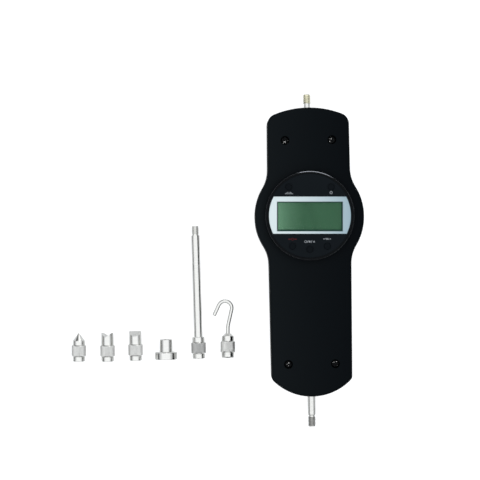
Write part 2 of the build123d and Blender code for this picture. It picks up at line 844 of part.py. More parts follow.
with BuildPart() as lcd_panel:
    with BuildSketch(dial_plane(lcd_bottom)):
        with Locations((0, window_y)):
            Rectangle(window_width + 2 * lcd_border, window_height + 2 * lcd_border)
    extrude(amount=lcd_thickness)

with BuildPart() as lcd_connectors:
    with BuildSketch(dial_plane(board_top)):
        with Locations((0, window_y)):
            with GridLocations(0, window_height + 2 * (lcd_border - strip_connector_width), 1, 2):
                Rectangle(window_width, strip_connector_width)
    extrude(amount=strip_connector_height)

with BuildPart() as main_board:
    with BuildSketch(dial_plane(board_bottom)):
        Circle(board_radius)
    extrude(amount=board_thickness)
    with BuildSketch(dial_plane(board_bottom)):
        with Locations((-connector_length, 0)):
            Rectangle(chip_size, chip_size)
    extrude(amount=-chip_height)

with BuildPart() as reader_board:
    with BuildSketch(Plane.XY.offset(reader_bottom)):
        with Locations((0, dial_y)):
            Rectangle(reader_width, reader_length)
    extrude(amount=reader_thickness)

with BuildPart() as board_connector:
    with BuildSketch(Plane.XY.offset(display_bottom)):
        with Locations((0, dial_y + connector_y)):
            Rectangle(connector_length, connector_width)
    extrude(amount=board_bottom - display_bottom)

with BuildPart() as button_switches:
    with BuildSketch(dial_plane(board_top)):
        with Locations(*button_places.values()):
            Rectangle(switch_size, switch_size)
    extrude(amount=switch_height)
    with BuildSketch(dial_plane(switch_top)):
        with Locations(*button_places.values()):
            Circle(switch_well_radius)
    extrude(amount=-(stem_reach + button_travel + loose_gap), mode=Mode.SUBTRACT)

buttons = {}
for button_name, button_place in button_places.items():
    button_axis = Axis(dial_plane(0).from_local_coords(Vector(*button_place, 0)), (0, 0, 1))
    with BuildPart() as button:
        revolve(
            half_profile(
                Plane(origin=button_axis.position, x_dir=(1, 0, 0), z_dir=(0, -1, 0)),
                [
                    (0, switch_top - stem_reach),
                    (button_stem_radius, switch_top - stem_reach),
                    (button_stem_radius, button_flange_bottom),
                    (button_flange_radius, button_flange_bottom),
                    (button_flange_radius, button_flange_top),
                    (button_radius, button_flange_top),
                    (button_radius, button_top - button_chamfer),
                    (button_radius - button_chamfer, button_top),
                    (0, button_top),
                ],
            ),
            axis=button_axis,
        )
    buttons[button_name] = button

# ---------------------------------------------------------------- battery and data socket

battery_bottom = cover_sink + cover_thickness + battery_gap
cover_radius = battery_pocket_radius - cover_gap

with BuildPart() as battery_cover:
    with BuildSketch(Plane.XY.offset(cover_sink)):
        with Locations((0, battery_y)):
            Circle(cover_radius)
    extrude(amount=cover_thickness)
    with BuildSketch(Plane.XY.offset(lug_z)):
        with Locations((0, battery_y)):
            Circle(battery_pocket_radius + lug_reach)
            Rectangle(2 * display_radius, lug_width, mode=Mode.INTERSECT)
    extrude(amount=lug_height)
    with BuildSketch(Plane.XY.offset(cover_sink)):
        with Locations(Location((0, battery_y), entry_turn)):
            SlotOverall(coin_slot_length, coin_slot_width)
    extrude(amount=coin_slot_depth, mode=Mode.SUBTRACT)

with BuildPart() as battery:
    with BuildSketch(Plane.XY.offset(battery_bottom)):
        with Locations((0, battery_y)):
            Circle(battery_radius)
    extrude(amount=battery_thickness)
    chamfer(battery.edges().filter_by(GeomType.CIRCLE), edge_chamfer)

with BuildPart() as battery_ring:
    with BuildSketch(Plane.XY.offset(battery_bottom)):
        with Locations((0, battery_y)):
            Circle(battery_pocket_radius - fit_gap)
            Circle(battery_radius + fit_gap, mode=Mode.SUBTRACT)
    extrude(amount=battery_pocket_depth - battery_bottom)

with BuildPart() as battery_contact:
    # Leaf bowed down from the roof of the pocket on to the cell
    with BuildSketch(battery_profile_plane):
        with BuildLine():
            low, high = battery_bottom + battery_thickness + fit_gap, battery_pocket_depth - fit_gap
            span, foot = contact_span / 2, high - contact_thickness
            under = ThreePointArc((-span, foot), (0, low), (span, foot))
            over = ThreePointArc((-span, high), (0, low + contact_thickness), (span, high))
            Line(under @ 0, over @ 0)
            Line(under @ 1, over @ 1)
        make_face()
    extrude(amount=contact_width / 2, both=True)

with BuildPart() as data_board:
    with BuildSketch(Plane.XY.offset(data_board_height)):
        with Locations(((data_board_left + data_board_right) / 2, dial_y)):
            Rectangle(data_board_right - data_board_left, data_board_width)
        with Locations(*data_posts):
            Circle(flange_screw_radius + fit_gap, mode=Mode.SUBTRACT)
    extrude(amount=reader_thickness)

with BuildPart() as data_board_screws:
    data_screw_seat = data_board_height + reader_thickness
    with BuildSketch(Plane.XY.offset(data_screw_seat)):
        with Locations(*data_posts):
            Circle(flange_screw_head_radius)
    extrude(amount=flange_screw_head_height)
    with BuildSketch(Plane.XY.offset(data_screw_seat)):
        with Locations(*data_posts):
            Circle(flange_screw_radius)
    extrude(amount=-reader_thickness - data_screw_bite)

with BuildPart() as data_socket:
    port_face = round_radius - port_sink
    port_middle = data_screw_seat + port_height / 2
    with BuildSketch(Plane.YZ.offset(port_face - port_depth)):
        with Locations((dial_y, port_middle)):
            Rectangle(port_width, port_height)
    extrude(amount=port_depth)
    chamfer(data_socket.edges().filter_by(Axis.X), edge_chamfer)
    with BuildSketch(Plane.YZ.offset(port_face)):
        with Locations((dial_y, port_middle)):
            Rectangle(port_width - 2 * port_wall, port_height - 2 * port_wall)
            Rectangle(port_tongue_width, port_tongue_height, mode=Mode.SUBTRACT)
    extrude(amount=-port_mouth_depth, mode=Mode.SUBTRACT)

# ---------------------------------------------------------------- measuring heads


def lying_plane(place, heading, dip, height):
    """Plane of a head on the table: origin in its socket end, Y along its axis, Z upwards.

    The far end of the head is lower than its socket end by the angle dip.
    """
    turn, fall = radians(heading), radians(dip)
    along = Vector(-sin(turn) * cos(fall), cos(turn) * cos(fall), -sin(fall))
    up = Vector(-sin(turn) * sin(fall), cos(turn) * sin(fall), cos(fall))
    return Plane(origin=(*place, height), x_dir=along.cross(up), z_dir=up)


def dip_between(near, far):
    """Dip in degrees of a head that rests on two edges, each (distance along the axis, radius)."""
    return degrees(atan2(near[1] - far[1], far[0] - near[0]))


def dip_on_wire(near, crown_y, wire_radius):
    """Dip in degrees of a head that rests on an edge and on the round wire of its far end."""
    reach = hypot(crown_y - near[0], near[1])
    return degrees(acos(wire_radius / reach) - atan2(crown_y - near[0], near[1]))


def rest_height(contact, dip):
    """Height of the socket end of a head that touches the table at contact."""
    fall = radians(dip)
    return contact[0] * sin(fall) + contact[1] * cos(fall)


def socket_end():
    """Half profile points of the socket end: bore, base and knurled collar, up to the shoulder."""
    collar_start = base_length
    collar_end = base_length + knurl_length
    return [
        (0, socket_depth + socket_radius / 2),
        (socket_radius, socket_depth),
        (socket_radius, socket_chamfer),
        (socket_radius + socket_chamfer, 0),
        (base_radius - edge_chamfer, 0),
        (base_radius, edge_chamfer),
        (base_radius, collar_start),
        (knurl_radius - knurl_chamfer, collar_start),
        (knurl_radius, collar_start + knurl_chamfer),
        (knurl_radius, collar_end - knurl_chamfer),
        (knurl_radius - knurl_chamfer, collar_end),
        (shoulder_radius, collar_end),
    ]


collar_end = base_length + knurl_length
collar_corner = (collar_end - knurl_chamfer, knurl_radius)

cone_plane = lying_plane(cone_place, cone_heading, 0, knurl_radius)
with BuildPart() as cone_head:
    cone_foot = collar_end + cone_shoulder_length
    cone_tip = cone_foot + cone_length
    revolve(
        half_profile(
            cone_plane,
            socket_end() + [(shoulder_radius, cone_foot), (cone_tip_radius, cone_tip), (0, cone_tip)],
        ),
        axis=Axis(cone_plane.origin, cone_plane.y_dir),
    )

notch_plane = lying_plane(notch_place, notch_heading, 0, knurl_radius)
with BuildPart() as notch_head:
    notch_top = collar_end + notch_body_length
    revolve(
        half_profile(notch_plane, socket_end() + [(shoulder_radius, notch_top), (0, notch_top)]),
        axis=Axis(notch_plane.origin, notch_plane.y_dir),
    )
    with BuildSketch(notch_plane.rotated((0, notch_roll, 0))):
        with BuildLine():
            Polyline(
                (-shoulder_radius, notch_top),
                (0, notch_top - notch_depth),
                (shoulder_radius, notch_top),
                close=True,
            )
        make_face()
    extrude(amount=knurl_radius, both=True, mode=Mode.SUBTRACT)

chisel_plane = lying_plane(chisel_place, chisel_heading, 0, knurl_radius)
with BuildPart() as chisel_head:
    chisel_top = collar_end + chisel_body_length
    revolve(
        half_profile(chisel_plane, socket_end() + [(shoulder_radius, chisel_top), (0, chisel_top)]),
        axis=Axis(chisel_plane.origin, chisel_plane.y_dir),
    )
    # Flats above and below leave a straight edge
    chisel_side = Plane(origin=chisel_plane.origin, x_dir=chisel_plane.z_dir, z_dir=-chisel_plane.x_dir)
    with BuildSketch(chisel_side) as chisel_flats:
        for side in (-1, 1):
            with BuildLine():
                Polyline(
                    (side * chisel_edge / 2, chisel_top),
                    (side * knurl_radius, chisel_top),
                    (side * knurl_radius, chisel_top - chisel_wedge_length),
                    (side * shoulder_radius, chisel_top - chisel_wedge_length),
                    close=True,
                )
            make_face()
    extrude(amount=knurl_radius, both=True, mode=Mode.SUBTRACT)

flat_plane = lying_plane(flat_place, flat_heading, 0, flat_disc_radius)
with BuildPart() as flat_head:
    disc_end = flat_stem_length + flat_disc_thickness
    revolve(
        half_profile(
            flat_plane,
            [
                (0, flat_socket_depth + socket_radius / 2),
                (socket_radius, flat_socket_depth),
                (socket_radius, socket_chamfer),
                (socket_radius + socket_chamfer, 0),
                (flat_stem_radius - edge_chamfer, 0),
                (flat_stem_radius, edge_chamfer),
                (flat_stem_radius, flat_stem_length),
                (flat_disc_radius - edge_chamfer, flat_stem_length),
                (flat_disc_radius, flat_stem_length + edge_chamfer),
                (flat_disc_radius, disc_end - edge_chamfer),
                (flat_disc_radius - edge_chamfer, disc_end),
                (0, disc_end),
            ],
        ),
        axis=Axis(flat_plane.origin, flat_plane.y_dir),
    )

extension_bar_end = extension_length - extension_thread_length - extension_neck_length
extension_dip = dip_between(collar_corner, (extension_bar_end, extension_radius))
extension_height = rest_height(collar_corner, extension_dip)
extension_plane = lying_plane(extension_place, extension_heading, extension_dip, extension_height)
with BuildPart() as extension_rod:
    rod_start = collar_end + extension_shoulder_length
    thread_start = extension_length - extension_thread_length
    revolve(
        half_profile(
            extension_plane,
            socket_end()
            + [
                (shoulder_radius, rod_start - edge_chamfer),
                (shoulder_radius - edge_chamfer, rod_start),
                (extension_radius, rod_start),
                (extension_radius, extension_bar_end),
                (neck_radius, extension_bar_end),
                (neck_radius, thread_start),
                (thread_radius, thread_start),
                (thread_radius, extension_length - rod_end_chamfer),
                (thread_radius - rod_end_chamfer, extension_length),
                (0, extension_length),
            ],
        ),
        axis=Axis(extension_plane.origin, extension_plane.y_dir),
    )

# The hook lies flat: its collar and the crown of its bend touch the table
hook_sway_end = hook_straight_end + hook_sway_radius * sin(radians(hook_sway))
hook_crown_y = (
    hook_sway_end
    + hook_rise * cos(radians(hook_sway))
    + hook_bend_radius * (1 + sin(radians(hook_sway)))
)
hook_dip = dip_on_wire(collar_corner, hook_crown_y, hook_wire_radius)
hook_plane = lying_plane(hook_place, hook_heading, hook_dip, rest_height(collar_corner, hook_dip))
with BuildPart() as hook_collar:
    hook_shoulder = collar_end + hook_shoulder_length
    revolve(
        half_profile(
            hook_plane,
            socket_end()
            + [
                (shoulder_radius, hook_shoulder),
                (hook_cone_radius, hook_shoulder + hook_cone_length),
                (hook_wire_radius + hook_bore_gap, hook_shoulder + hook_cone_length),
                (hook_wire_radius + hook_bore_gap, hook_wire_start - hook_bore_gap),
                (0, hook_wire_start - hook_bore_gap),
            ],
        ),
        axis=Axis(hook_plane.origin, hook_plane.y_dir),
    )

with BuildPart() as hook_wire:
    with BuildLine(hook_plane) as hook_line:
        shank = Line((0, hook_wire_start), (0, hook_straight_end))
        sway = JernArc(shank @ 1, shank % 1, hook_sway_radius, -hook_sway)
        rise = Line(sway @ 1, sway @ 1 + (sway % 1) * hook_rise)
        bend = JernArc(rise @ 1, rise % 1, hook_bend_radius, hook_bend)
        tail = Line(bend @ 1, bend @ 1 + (bend % 1) * hook_tail)
    with BuildSketch(Plane(origin=hook_line.line @ 0, z_dir=hook_line.line % 0)):
        Circle(hook_wire_radius)
    sweep()
    hook_tip = hook_line.line @ 1
    chamfer(hook_wire.faces().sort_by_distance(hook_tip)[0].edges(), hook_tip_chamfer)

# ---------------------------------------------------------------- export

pieces = {
    "front_housing": front_housing,
    "rear_housing": rear_housing,
    "housing_screws": housing_screws,
    "measuring_rod": measuring_rod,
    "upper_rod_bush": upper_rod_bush,
    "lower_rod_bush": lower_rod_bush,
    "rod_carriage": rod_carriage,
    "carriage_screw": carriage_screw,
    "scale_strip": scale_strip,
    "guide_rod": guide_rod,
    "rod_collar": rod_collar,
    "collar_screw": collar_screw,
    "upper_spring_seat": upper_spring_seat,
    "lower_spring_seat": lower_spring_seat,
    **springs,
    "display_case": display_case,
    "display_case_screws": display_case_screws,
    "face_panel": face_panel,
    "display_frame": display_frame,
    "lcd_window": lcd_window,
    "lcd_panel": lcd_panel,
    "lcd_connectors": lcd_connectors,
    "main_board": main_board,
    "reader_board": reader_board,
    "board_connector": board_connector,
    "button_switches": button_switches,
    **buttons,
    "battery_cover": battery_cover,
    "battery": battery,
    "battery_ring": battery_ring,
    "battery_contact": battery_contact,
    "data_board": data_board,
    "data_board_screws": data_board_screws,
    "data_socket": data_socket,
    "cone_head": cone_head,
    "notch_head": notch_head,
    "chisel_head": chisel_head,
    "flat_head": flat_head,
    "extension_rod": extension_rod,
    "hook_collar": hook_collar,
    "hook_wire": hook_wire,
}
os.makedirs("parts", exist_ok=True)
for name, piece in pieces.items():
    piece.part.label = name
    export_step(piece.part, f"parts/{name}.step")
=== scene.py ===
from math import cos, pi, radians, sin

import bmesh
import bpy
from mathutils import Matrix, Vector


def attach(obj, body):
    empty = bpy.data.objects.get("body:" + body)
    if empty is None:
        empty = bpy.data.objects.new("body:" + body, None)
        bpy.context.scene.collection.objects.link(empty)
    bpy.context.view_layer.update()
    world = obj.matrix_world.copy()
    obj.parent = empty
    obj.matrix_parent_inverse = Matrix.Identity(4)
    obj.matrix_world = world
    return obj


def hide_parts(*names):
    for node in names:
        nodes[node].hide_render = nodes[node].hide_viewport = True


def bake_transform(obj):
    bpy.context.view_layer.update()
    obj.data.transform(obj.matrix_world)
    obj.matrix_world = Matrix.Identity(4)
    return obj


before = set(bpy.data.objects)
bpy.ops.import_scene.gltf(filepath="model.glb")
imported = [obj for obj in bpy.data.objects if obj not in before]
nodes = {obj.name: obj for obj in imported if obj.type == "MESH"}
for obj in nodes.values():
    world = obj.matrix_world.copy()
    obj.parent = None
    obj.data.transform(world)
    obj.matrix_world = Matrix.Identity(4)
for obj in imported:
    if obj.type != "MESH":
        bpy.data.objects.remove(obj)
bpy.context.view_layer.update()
scene = bpy.context.scene
print("stage: frame loaded,", len(nodes), "nodes")


# Camera and light

camera = {"place": (-0.05217, 0.0098, 1.300), "turn": -0.9, "lens": 127.05, "sensor": 36, "farEnd": 20}
cameraData = bpy.data.cameras.new("camera")
cameraData.lens = camera["lens"]
cameraData.sensor_width = camera["sensor"]
cameraData.clip_end = camera["farEnd"]
cameraObject = bpy.data.objects.new("camera", cameraData)
cameraObject.location = camera["place"]
cameraObject.rotation_euler = (0, 0, radians(camera["turn"]))
scene.collection.objects.link(cameraObject)
scene.camera = cameraObject
scene.view_settings.view_transform = "Standard"

lampAim = Vector((-0.05, 0, 0.02))
lamps = {
    "ceilingPanel": {"place": (-0.05, 0.0, 1.75), "size": (3.6, 2.6), "power": 13.0},
    "backPanel": {"place": (0.19, 1.17, 0.27), "size": (0.85, 0.25), "power": 1.7},
}
for lampName, lamp in lamps.items():
    lampData = bpy.data.lights.new(lampName, "AREA")
    lampData.shape = "RECTANGLE"
    lampData.size, lampData.size_y = lamp["size"]
    lampData.energy = lamp["power"]
    lampObject = bpy.data.objects.new(lampName, lampData)
    lampObject.location = lamp["place"]
    lampObject.rotation_euler = (lampAim - lampObject.location).to_track_quat("-Z", "Y").to_euler()
    scene.collection.objects.link(lampObject)

# White tent overhead, darker towards the horizon
tent = {"colour": (0.96, 0.98, 1.0, 1), "high": 0.88, "low": 0.03, "from": 0.20, "to": 0.48}
world = bpy.data.worlds.new("studio")
scene.world = world
world.use_nodes = True
worldTree = world.node_tree
worldShade = worldTree.nodes["Background"]
worldShade.inputs["Color"].default_value = tent["colour"]
direction = worldTree.nodes.new("ShaderNodeTexCoord")
upward = worldTree.nodes.new("ShaderNodeSeparateXYZ")
tentLevel = worldTree.nodes.new("ShaderNodeMapRange")
tentLevel.interpolation_type = "SMOOTHSTEP"
tentLevel.inputs["From Min"].default_value = tent["from"]
tentLevel.inputs["From Max"].default_value = tent["to"]
tentLevel.inputs["To Min"].default_value = tent["low"]
tentLevel.inputs["To Max"].default_value = tent["high"]
worldTree.links.new(direction.outputs["Generated"], upward.inputs["Vector"])
worldTree.links.new(upward.outputs["Z"], tentLevel.inputs["Value"])
worldTree.links.new(tentLevel.outputs["Result"], worldShade.inputs["Strength"])


# Shared effects

def newGroup(name, inputs, outputs):
    group = bpy.data.node_groups.new(name, "ShaderNodeTree")
    for socketName, kind, value in inputs:
        socket = group.interface.new_socket(socketName, in_out="INPUT", socket_type="NodeSocket" + kind)
        socket.default_value = value
    for socketName, kind in outputs:
        group.interface.new_socket(socketName, in_out="OUTPUT", socket_type="NodeSocket" + kind)
    return group, group.nodes.new("NodeGroupInput"), group.nodes.new("NodeGroupOutput")


def colourMix(group):
    mix = group.nodes.new("ShaderNodeMix")
    mix.data_type = "RGBA"
    return mix


def mathNode(tree, operation, factor=None):
    node = tree.nodes.new("ShaderNodeMath")
    node.operation = operation
    if factor is not None:
        node.inputs[1].default_value = factor
    return node


# Fine grain with slow changes of tone: moulded plastic, rubber, glass, circuit boards and ink
grainGroup, grainIn, grainOut = newGroup(
    "mouldedGrain",
    [
        ("Light Tone", "Color", (0.5, 0.5, 0.5, 1)),
        ("Dark Tone", "Color", (0.4, 0.4, 0.4, 1)),
        ("Tone Scale", "Float", 40.0),
        ("Grain Scale", "Float", 2000.0),
        ("Smooth Rough", "Float", 0.3),
        ("Dull Rough", "Float", 0.5),
        ("Grain Share", "Float", 0.4),
    ],
    [("Color", "Color"), ("Roughness", "Float"), ("Height", "Float")],
)
place = grainGroup.nodes.new("ShaderNodeTexCoord")
slowNoise = grainGroup.nodes.new("ShaderNodeTexNoise")
slowNoise.inputs["Detail"].default_value = 3
fineNoise = grainGroup.nodes.new("ShaderNodeTexNoise")
fineNoise.inputs["Detail"].default_value = 2
toneMix = colourMix(grainGroup)
roughMix = grainGroup.nodes.new("ShaderNodeMix")
both = mathNode(grainGroup, "MULTIPLY_ADD")
link = grainGroup.links.new
link(place.outputs["Object"], slowNoise.inputs["Vector"])
link(place.outputs["Object"], fineNoise.inputs["Vector"])
link(grainIn.outputs["Tone Scale"], slowNoise.inputs["Scale"])
link(grainIn.outputs["Grain Scale"], fineNoise.inputs["Scale"])
link(fineNoise.outputs["Fac"], both.inputs[0])
link(grainIn.outputs["Grain Share"], both.inputs[1])
link(slowNoise.outputs["Fac"], both.inputs[2])
link(slowNoise.outputs["Fac"], toneMix.inputs["Factor"])
link(grainIn.outputs["Dark Tone"], toneMix.inputs["A"])
link(grainIn.outputs["Light Tone"], toneMix.inputs["B"])
link(both.outputs[0], roughMix.inputs["Factor"])
link(grainIn.outputs["Smooth Rough"], roughMix.inputs["A"])
link(grainIn.outputs["Dull Rough"], roughMix.inputs["B"])
link(toneMix.outputs["Result"], grainOut.inputs["Color"])
link(roughMix.outputs["Result"], grainOut.inputs["Roughness"])
link(fineNoise.outputs["Fac"], grainOut.inputs["Height"])

# Tool marks that run one way: turned steel across its axis, brushed sheet along it
marksGroup, marksIn, marksOut = newGroup(
    "toolMarks",
    [
        ("Light Tone", "Color", (0.7, 0.7, 0.7, 1)),
        ("Dark Tone", "Color", (0.5, 0.5, 0.5, 1)),
        ("Marks", "Vector", (60.0, 2400.0, 60.0)),
        ("Smooth Rough", "Float", 0.15),
        ("Dull Rough", "Float", 0.3),
        ("Handled Scale", "Float", 90.0),
    ],
    [("Color", "Color"), ("Roughness", "Float"), ("Height", "Float")],
)
place = marksGroup.nodes.new("ShaderNodeTexCoord")
stretch = marksGroup.nodes.new("ShaderNodeVectorMath")
stretch.operation = "MULTIPLY"
markNoise = marksGroup.nodes.new("ShaderNodeTexNoise")
markNoise.inputs["Scale"].default_value = 1.0
markNoise.inputs["Detail"].default_value = 3
handled = marksGroup.nodes.new("ShaderNodeTexNoise")
toneMix = colourMix(marksGroup)
roughMix = marksGroup.nodes.new("ShaderNodeMix")
link = marksGroup.links.new
link(place.outputs["Object"], stretch.inputs[0])
link(marksIn.outputs["Marks"], stretch.inputs[1])
link(stretch.outputs["Vector"], markNoise.inputs["Vector"])
link(place.outputs["Object"], handled.inputs["Vector"])
link(marksIn.outputs["Handled Scale"], handled.inputs["Scale"])
link(markNoise.outputs["Fac"], toneMix.inputs["Factor"])
link(marksIn.outputs["Dark Tone"], toneMix.inputs["A"])
link(marksIn.outputs["Light Tone"], toneMix.inputs["B"])
link(handled.outputs["Fac"], roughMix.inputs["Factor"])
link(marksIn.outputs["Smooth Rough"], roughMix.inputs["A"])
link(marksIn.outputs["Dull Rough"], roughMix.inputs["B"])
link(toneMix.outputs["Result"], marksOut.inputs["Color"])
link(roughMix.outputs["Result"], marksOut.inputs["Roughness"])
link(markNoise.outputs["Fac"], marksOut.inputs["Height"])


# Painted light: a change of tone from left to right, lighter on the left as if lit from there, for the
# display cell, its silver frame and the case
paintedLightGroup, paintedLightIn, paintedLightOut = newGroup(
    "paintedSideLight",
    [
        ("Left Tone", "Color", (0.5, 0.5, 0.5, 1)),
        ("Right Tone", "Color", (0.4, 0.4, 0.4, 1)),
        ("Start", "Float", -0.03),
        ("End", "Float", 0.03),
        ("Falloff", "Float", 1.0),
        ("Dark Share", "Color", (0.93, 0.93, 0.93, 1)),
    ],
    [("Light Tone", "Color"), ("Dark Tone", "Color")],
)
place = paintedLightGroup.nodes.new("ShaderNodeTexCoord")
apart = paintedLightGroup.nodes.new("ShaderNodeSeparateXYZ")
share = paintedLightGroup.nodes.new("ShaderNodeMapRange")
curve = mathNode(paintedLightGroup, "POWER")
toneMix = colourMix(paintedLightGroup)
darker = colourMix(paintedLightGroup)
darker.blend_type = "MULTIPLY"
darker.inputs["Factor"].default_value = 1.0
link = paintedLightGroup.links.new
link(place.outputs["Object"], apart.inputs["Vector"])
link(apart.outputs["X"], share.inputs["Value"])
link(paintedLightIn.outputs["Start"], share.inputs["From Min"])
link(paintedLightIn.outputs["End"], share.inputs["From Max"])
link(share.outputs["Result"], curve.inputs[0])
link(paintedLightIn.outputs["Falloff"], curve.inputs[1])
link(curve.outputs[0], toneMix.inputs["Factor"])
link(paintedLightIn.outputs["Left Tone"], toneMix.inputs["A"])
link(paintedLightIn.outputs["Right Tone"], toneMix.inputs["B"])
link(toneMix.outputs["Result"], darker.inputs["A"])
link(paintedLightIn.outputs["Dark Share"], darker.inputs["B"])
link(toneMix.outputs["Result"], paintedLightOut.inputs["Light Tone"])
link(darker.outputs["Result"], paintedLightOut.inputs["Dark Tone"])


# Depths of the finest relief, in metres
grainDepth = 0.00005
markDepth = 0.00002
glintDepth = 0.00003


def makeFinish(name, group, values, shader, bump, bumpDepth):
    material = bpy.data.materials.new(name)
    material.use_nodes = True
    tree = material.node_tree
    surface = tree.nodes["Principled BSDF"]
    for socketName, value in shader.items():
        surface.inputs[socketName].default_value = value
    effect = tree.nodes.new("ShaderNodeGroup")
    effect.name = group.name
    effect.node_tree = group
    for socketName, value in values.items():
        effect.inputs[socketName].default_value = value
    relief = tree.nodes.new("ShaderNodeBump")
    relief.inputs["Strength"].default_value = bump
    relief.inputs["Distance"].default_value = bumpDepth
    tree.links.new(effect.outputs["Color"], surface.inputs["Base Color"])
    tree.links.new(effect.outputs["Roughness"], surface.inputs["Roughness"])
    tree.links.new(effect.outputs["Height"], relief.inputs["Height"])
    tree.links.new(relief.outputs["Normal"], surface.inputs["Normal"])
    return material


def tone(red, green, blue):
    return (red, green, blue, 1)


def moulded(name, light, dark, rough=(0.4, 0.55), specular=0.5, toneScale=40, grain=2200, bump=0.25):
    values = {
        "Light Tone": tone(*light),
        "Dark Tone": tone(*dark),
        "Tone Scale": toneScale,
        "Grain Scale": grain,
        "Smooth Rough": rough[0],
        "Dull Rough": rough[1],
    }
    return makeFinish(name, grainGroup, values, {"Specular IOR Level": specular}, bump, grainDepth)


def turned(name, light, dark, rough=(0.15, 0.28), marks=(60, 2400, 60), bump=0.15, metallic=1.0):
    values = {
        "Light Tone": tone(*light),
        "Dark Tone": tone(*dark),
        "Marks": marks,
        "Smooth Rough": rough[0],
        "Dull Rough": rough[1],
    }
    return makeFinish(name, marksGroup, values, {"Metallic": metallic}, bump, markDepth)


# Painted glints: bright metal specks in the black coat, standing in for glints off the screws' cross
# recesses
glintGroup, glintIn, glintOut = newGroup(
    "paintedGlints",
    [
        ("Coat Tone", "Color", (0.01, 0.01, 0.01, 1)),
        ("Metal Tone", "Color", (0.7, 0.7, 0.7, 1)),
        ("Glint Scale", "Float", 900.0),
        ("Glint Start", "Float", 0.645),
        ("Glint Edge", "Float", 0.03),
        ("Coat Rough", "Float", 0.55),
        ("Metal Rough", "Float", 0.25),
    ],
    [("Color", "Color"), ("Metal", "Float"), ("Roughness", "Float"), ("Height", "Float")],
)
place = glintGroup.nodes.new("ShaderNodeTexCoord")
glintNoise = glintGroup.nodes.new("ShaderNodeTexNoise")
glintNoise.inputs["Detail"].default_value = 2
glintFrom = mathNode(glintGroup, "ADD")
glintMask = glintGroup.nodes.new("ShaderNodeMapRange")
toneMix = colourMix(glintGroup)
roughMix = glintGroup.nodes.new("ShaderNodeMix")
link = glintGroup.links.new
link(place.outputs["Object"], glintNoise.inputs["Vector"])
link(glintIn.outputs["Glint Scale"], glintNoise.inputs["Scale"])
link(glintIn.outputs["Glint Start"], glintFrom.inputs[0])
link(glintIn.outputs["Glint Edge"], glintFrom.inputs[1])
link(glintNoise.outputs["Fac"], glintMask.inputs["Value"])
link(glintIn.outputs["Glint Start"], glintMask.inputs["From Min"])
link(glintFrom.outputs[0], glintMask.inputs["From Max"])
link(glintMask.outputs["Result"], toneMix.inputs["Factor"])
link(glintIn.outputs["Coat Tone"], toneMix.inputs["A"])
link(glintIn.outputs["Metal Tone"], toneMix.inputs["B"])
link(glintMask.outputs["Result"], roughMix.inputs["Factor"])
link(glintIn.outputs["Coat Rough"], roughMix.inputs["A"])
link(glintIn.outputs["Metal Rough"], roughMix.inputs["B"])
link(toneMix.outputs["Result"], glintOut.inputs["Color"])
link(glintMask.outputs["Result"], glintOut.inputs["Metal"])
link(roughMix.outputs["Result"], glintOut.inputs["Roughness"])
link(glintNoise.outputs["Fac"], glintOut.inputs["Height"])


def glintSpecked(name, coat, metal, specular=0.1, bump=0.1):
    values = {"Coat Tone": tone(*coat), "Metal Tone": tone(*metal)}
    finish = makeFinish(name, glintGroup, values, {"Specular IOR Level": specular}, bump, glintDepth)
    tree = finish.node_tree
    surface = tree.nodes["Principled BSDF"]
    tree.links.new(tree.nodes[glintGroup.name].outputs["Metal"], surface.inputs["Metallic"])
    return finish


# Plastic, rubber, glass, circuit boards, ink and the painted shadow at the display cell's edge: light and
# dark tone, then smooth and dull roughness
mouldedFinishes = {
    "caseBlack": {
        "light": (0.0030, 0.0046, 0.0056), "dark": (0.0016, 0.0028, 0.0036),
        "rough": (0.42, 0.55), "specular": 0.04,
    },
    "bezelBlack": {
        "light": (0.003, 0.004, 0.005), "dark": (0.002, 0.003, 0.004),
        "rough": (0.3, 0.4), "specular": 0.05, "grain": 900, "bump": 0.05,
    },
    "panelBlack": {
        "light": (0.0058, 0.0086, 0.0112), "dark": (0.0036, 0.0056, 0.0076),
        "rough": (0.4, 0.5), "specular": 0.04, "grain": 3000, "bump": 0.1,
    },
    "buttonBlack": {
        "light": (0.0042, 0.0062, 0.0084), "dark": (0.0026, 0.0042, 0.0058),
        "rough": (0.5, 0.6), "specular": 0.04, "grain": 2600,
    },
    "circuitGreen": {
        "light": (0.02, 0.13, 0.05), "dark": (0.012, 0.09, 0.035),
        "rough": (0.3, 0.45), "grain": 1200,
    },
    "insidePlastic": {"light": (0.02, 0.02, 0.022), "dark": (0.012, 0.012, 0.014), "rough": (0.45, 0.6)},
    "zebraRubber": {"light": (0.25, 0.22, 0.2), "dark": (0.1, 0.09, 0.09), "rough": (0.6, 0.7)},
    "stripGlass": {"light": (0.7, 0.65, 0.42), "dark": (0.6, 0.55, 0.35), "rough": (0.1, 0.2)},
    "lcdGreen": {
        "light": (0.062, 0.168, 0.086), "dark": (0.05, 0.142, 0.07),
        "rough": (0.25, 0.35), "specular": 0.05, "toneScale": 18, "grain": 1800, "bump": 0.03,
    },
    "windowClear": {
        "light": (0.02, 0.03, 0.025), "dark": (0.015, 0.02, 0.018),
        "rough": (0.02, 0.05), "specular": 0.2, "grain": 300, "bump": 0.01,
    },
    "printWhite": {
        "light": (0.33, 0.35, 0.37), "dark": (0.24, 0.26, 0.28),
        "rough": (0.5, 0.6), "specular": 0.1, "toneScale": 900,
    },
    "printRed": {
        "light": (0.10, 0.010, 0.012), "dark": (0.07, 0.007, 0.009),
        "rough": (0.5, 0.6), "specular": 0.1, "toneScale": 900,
    },
    # Painted shadow at the edge of the display cell
    "paintedCellShade": {
        "light": (0.014, 0.05, 0.036), "dark": (0.011, 0.042, 0.03),
        "rough": (0.4, 0.5), "specular": 0.1, "toneScale": 400,
    },
}
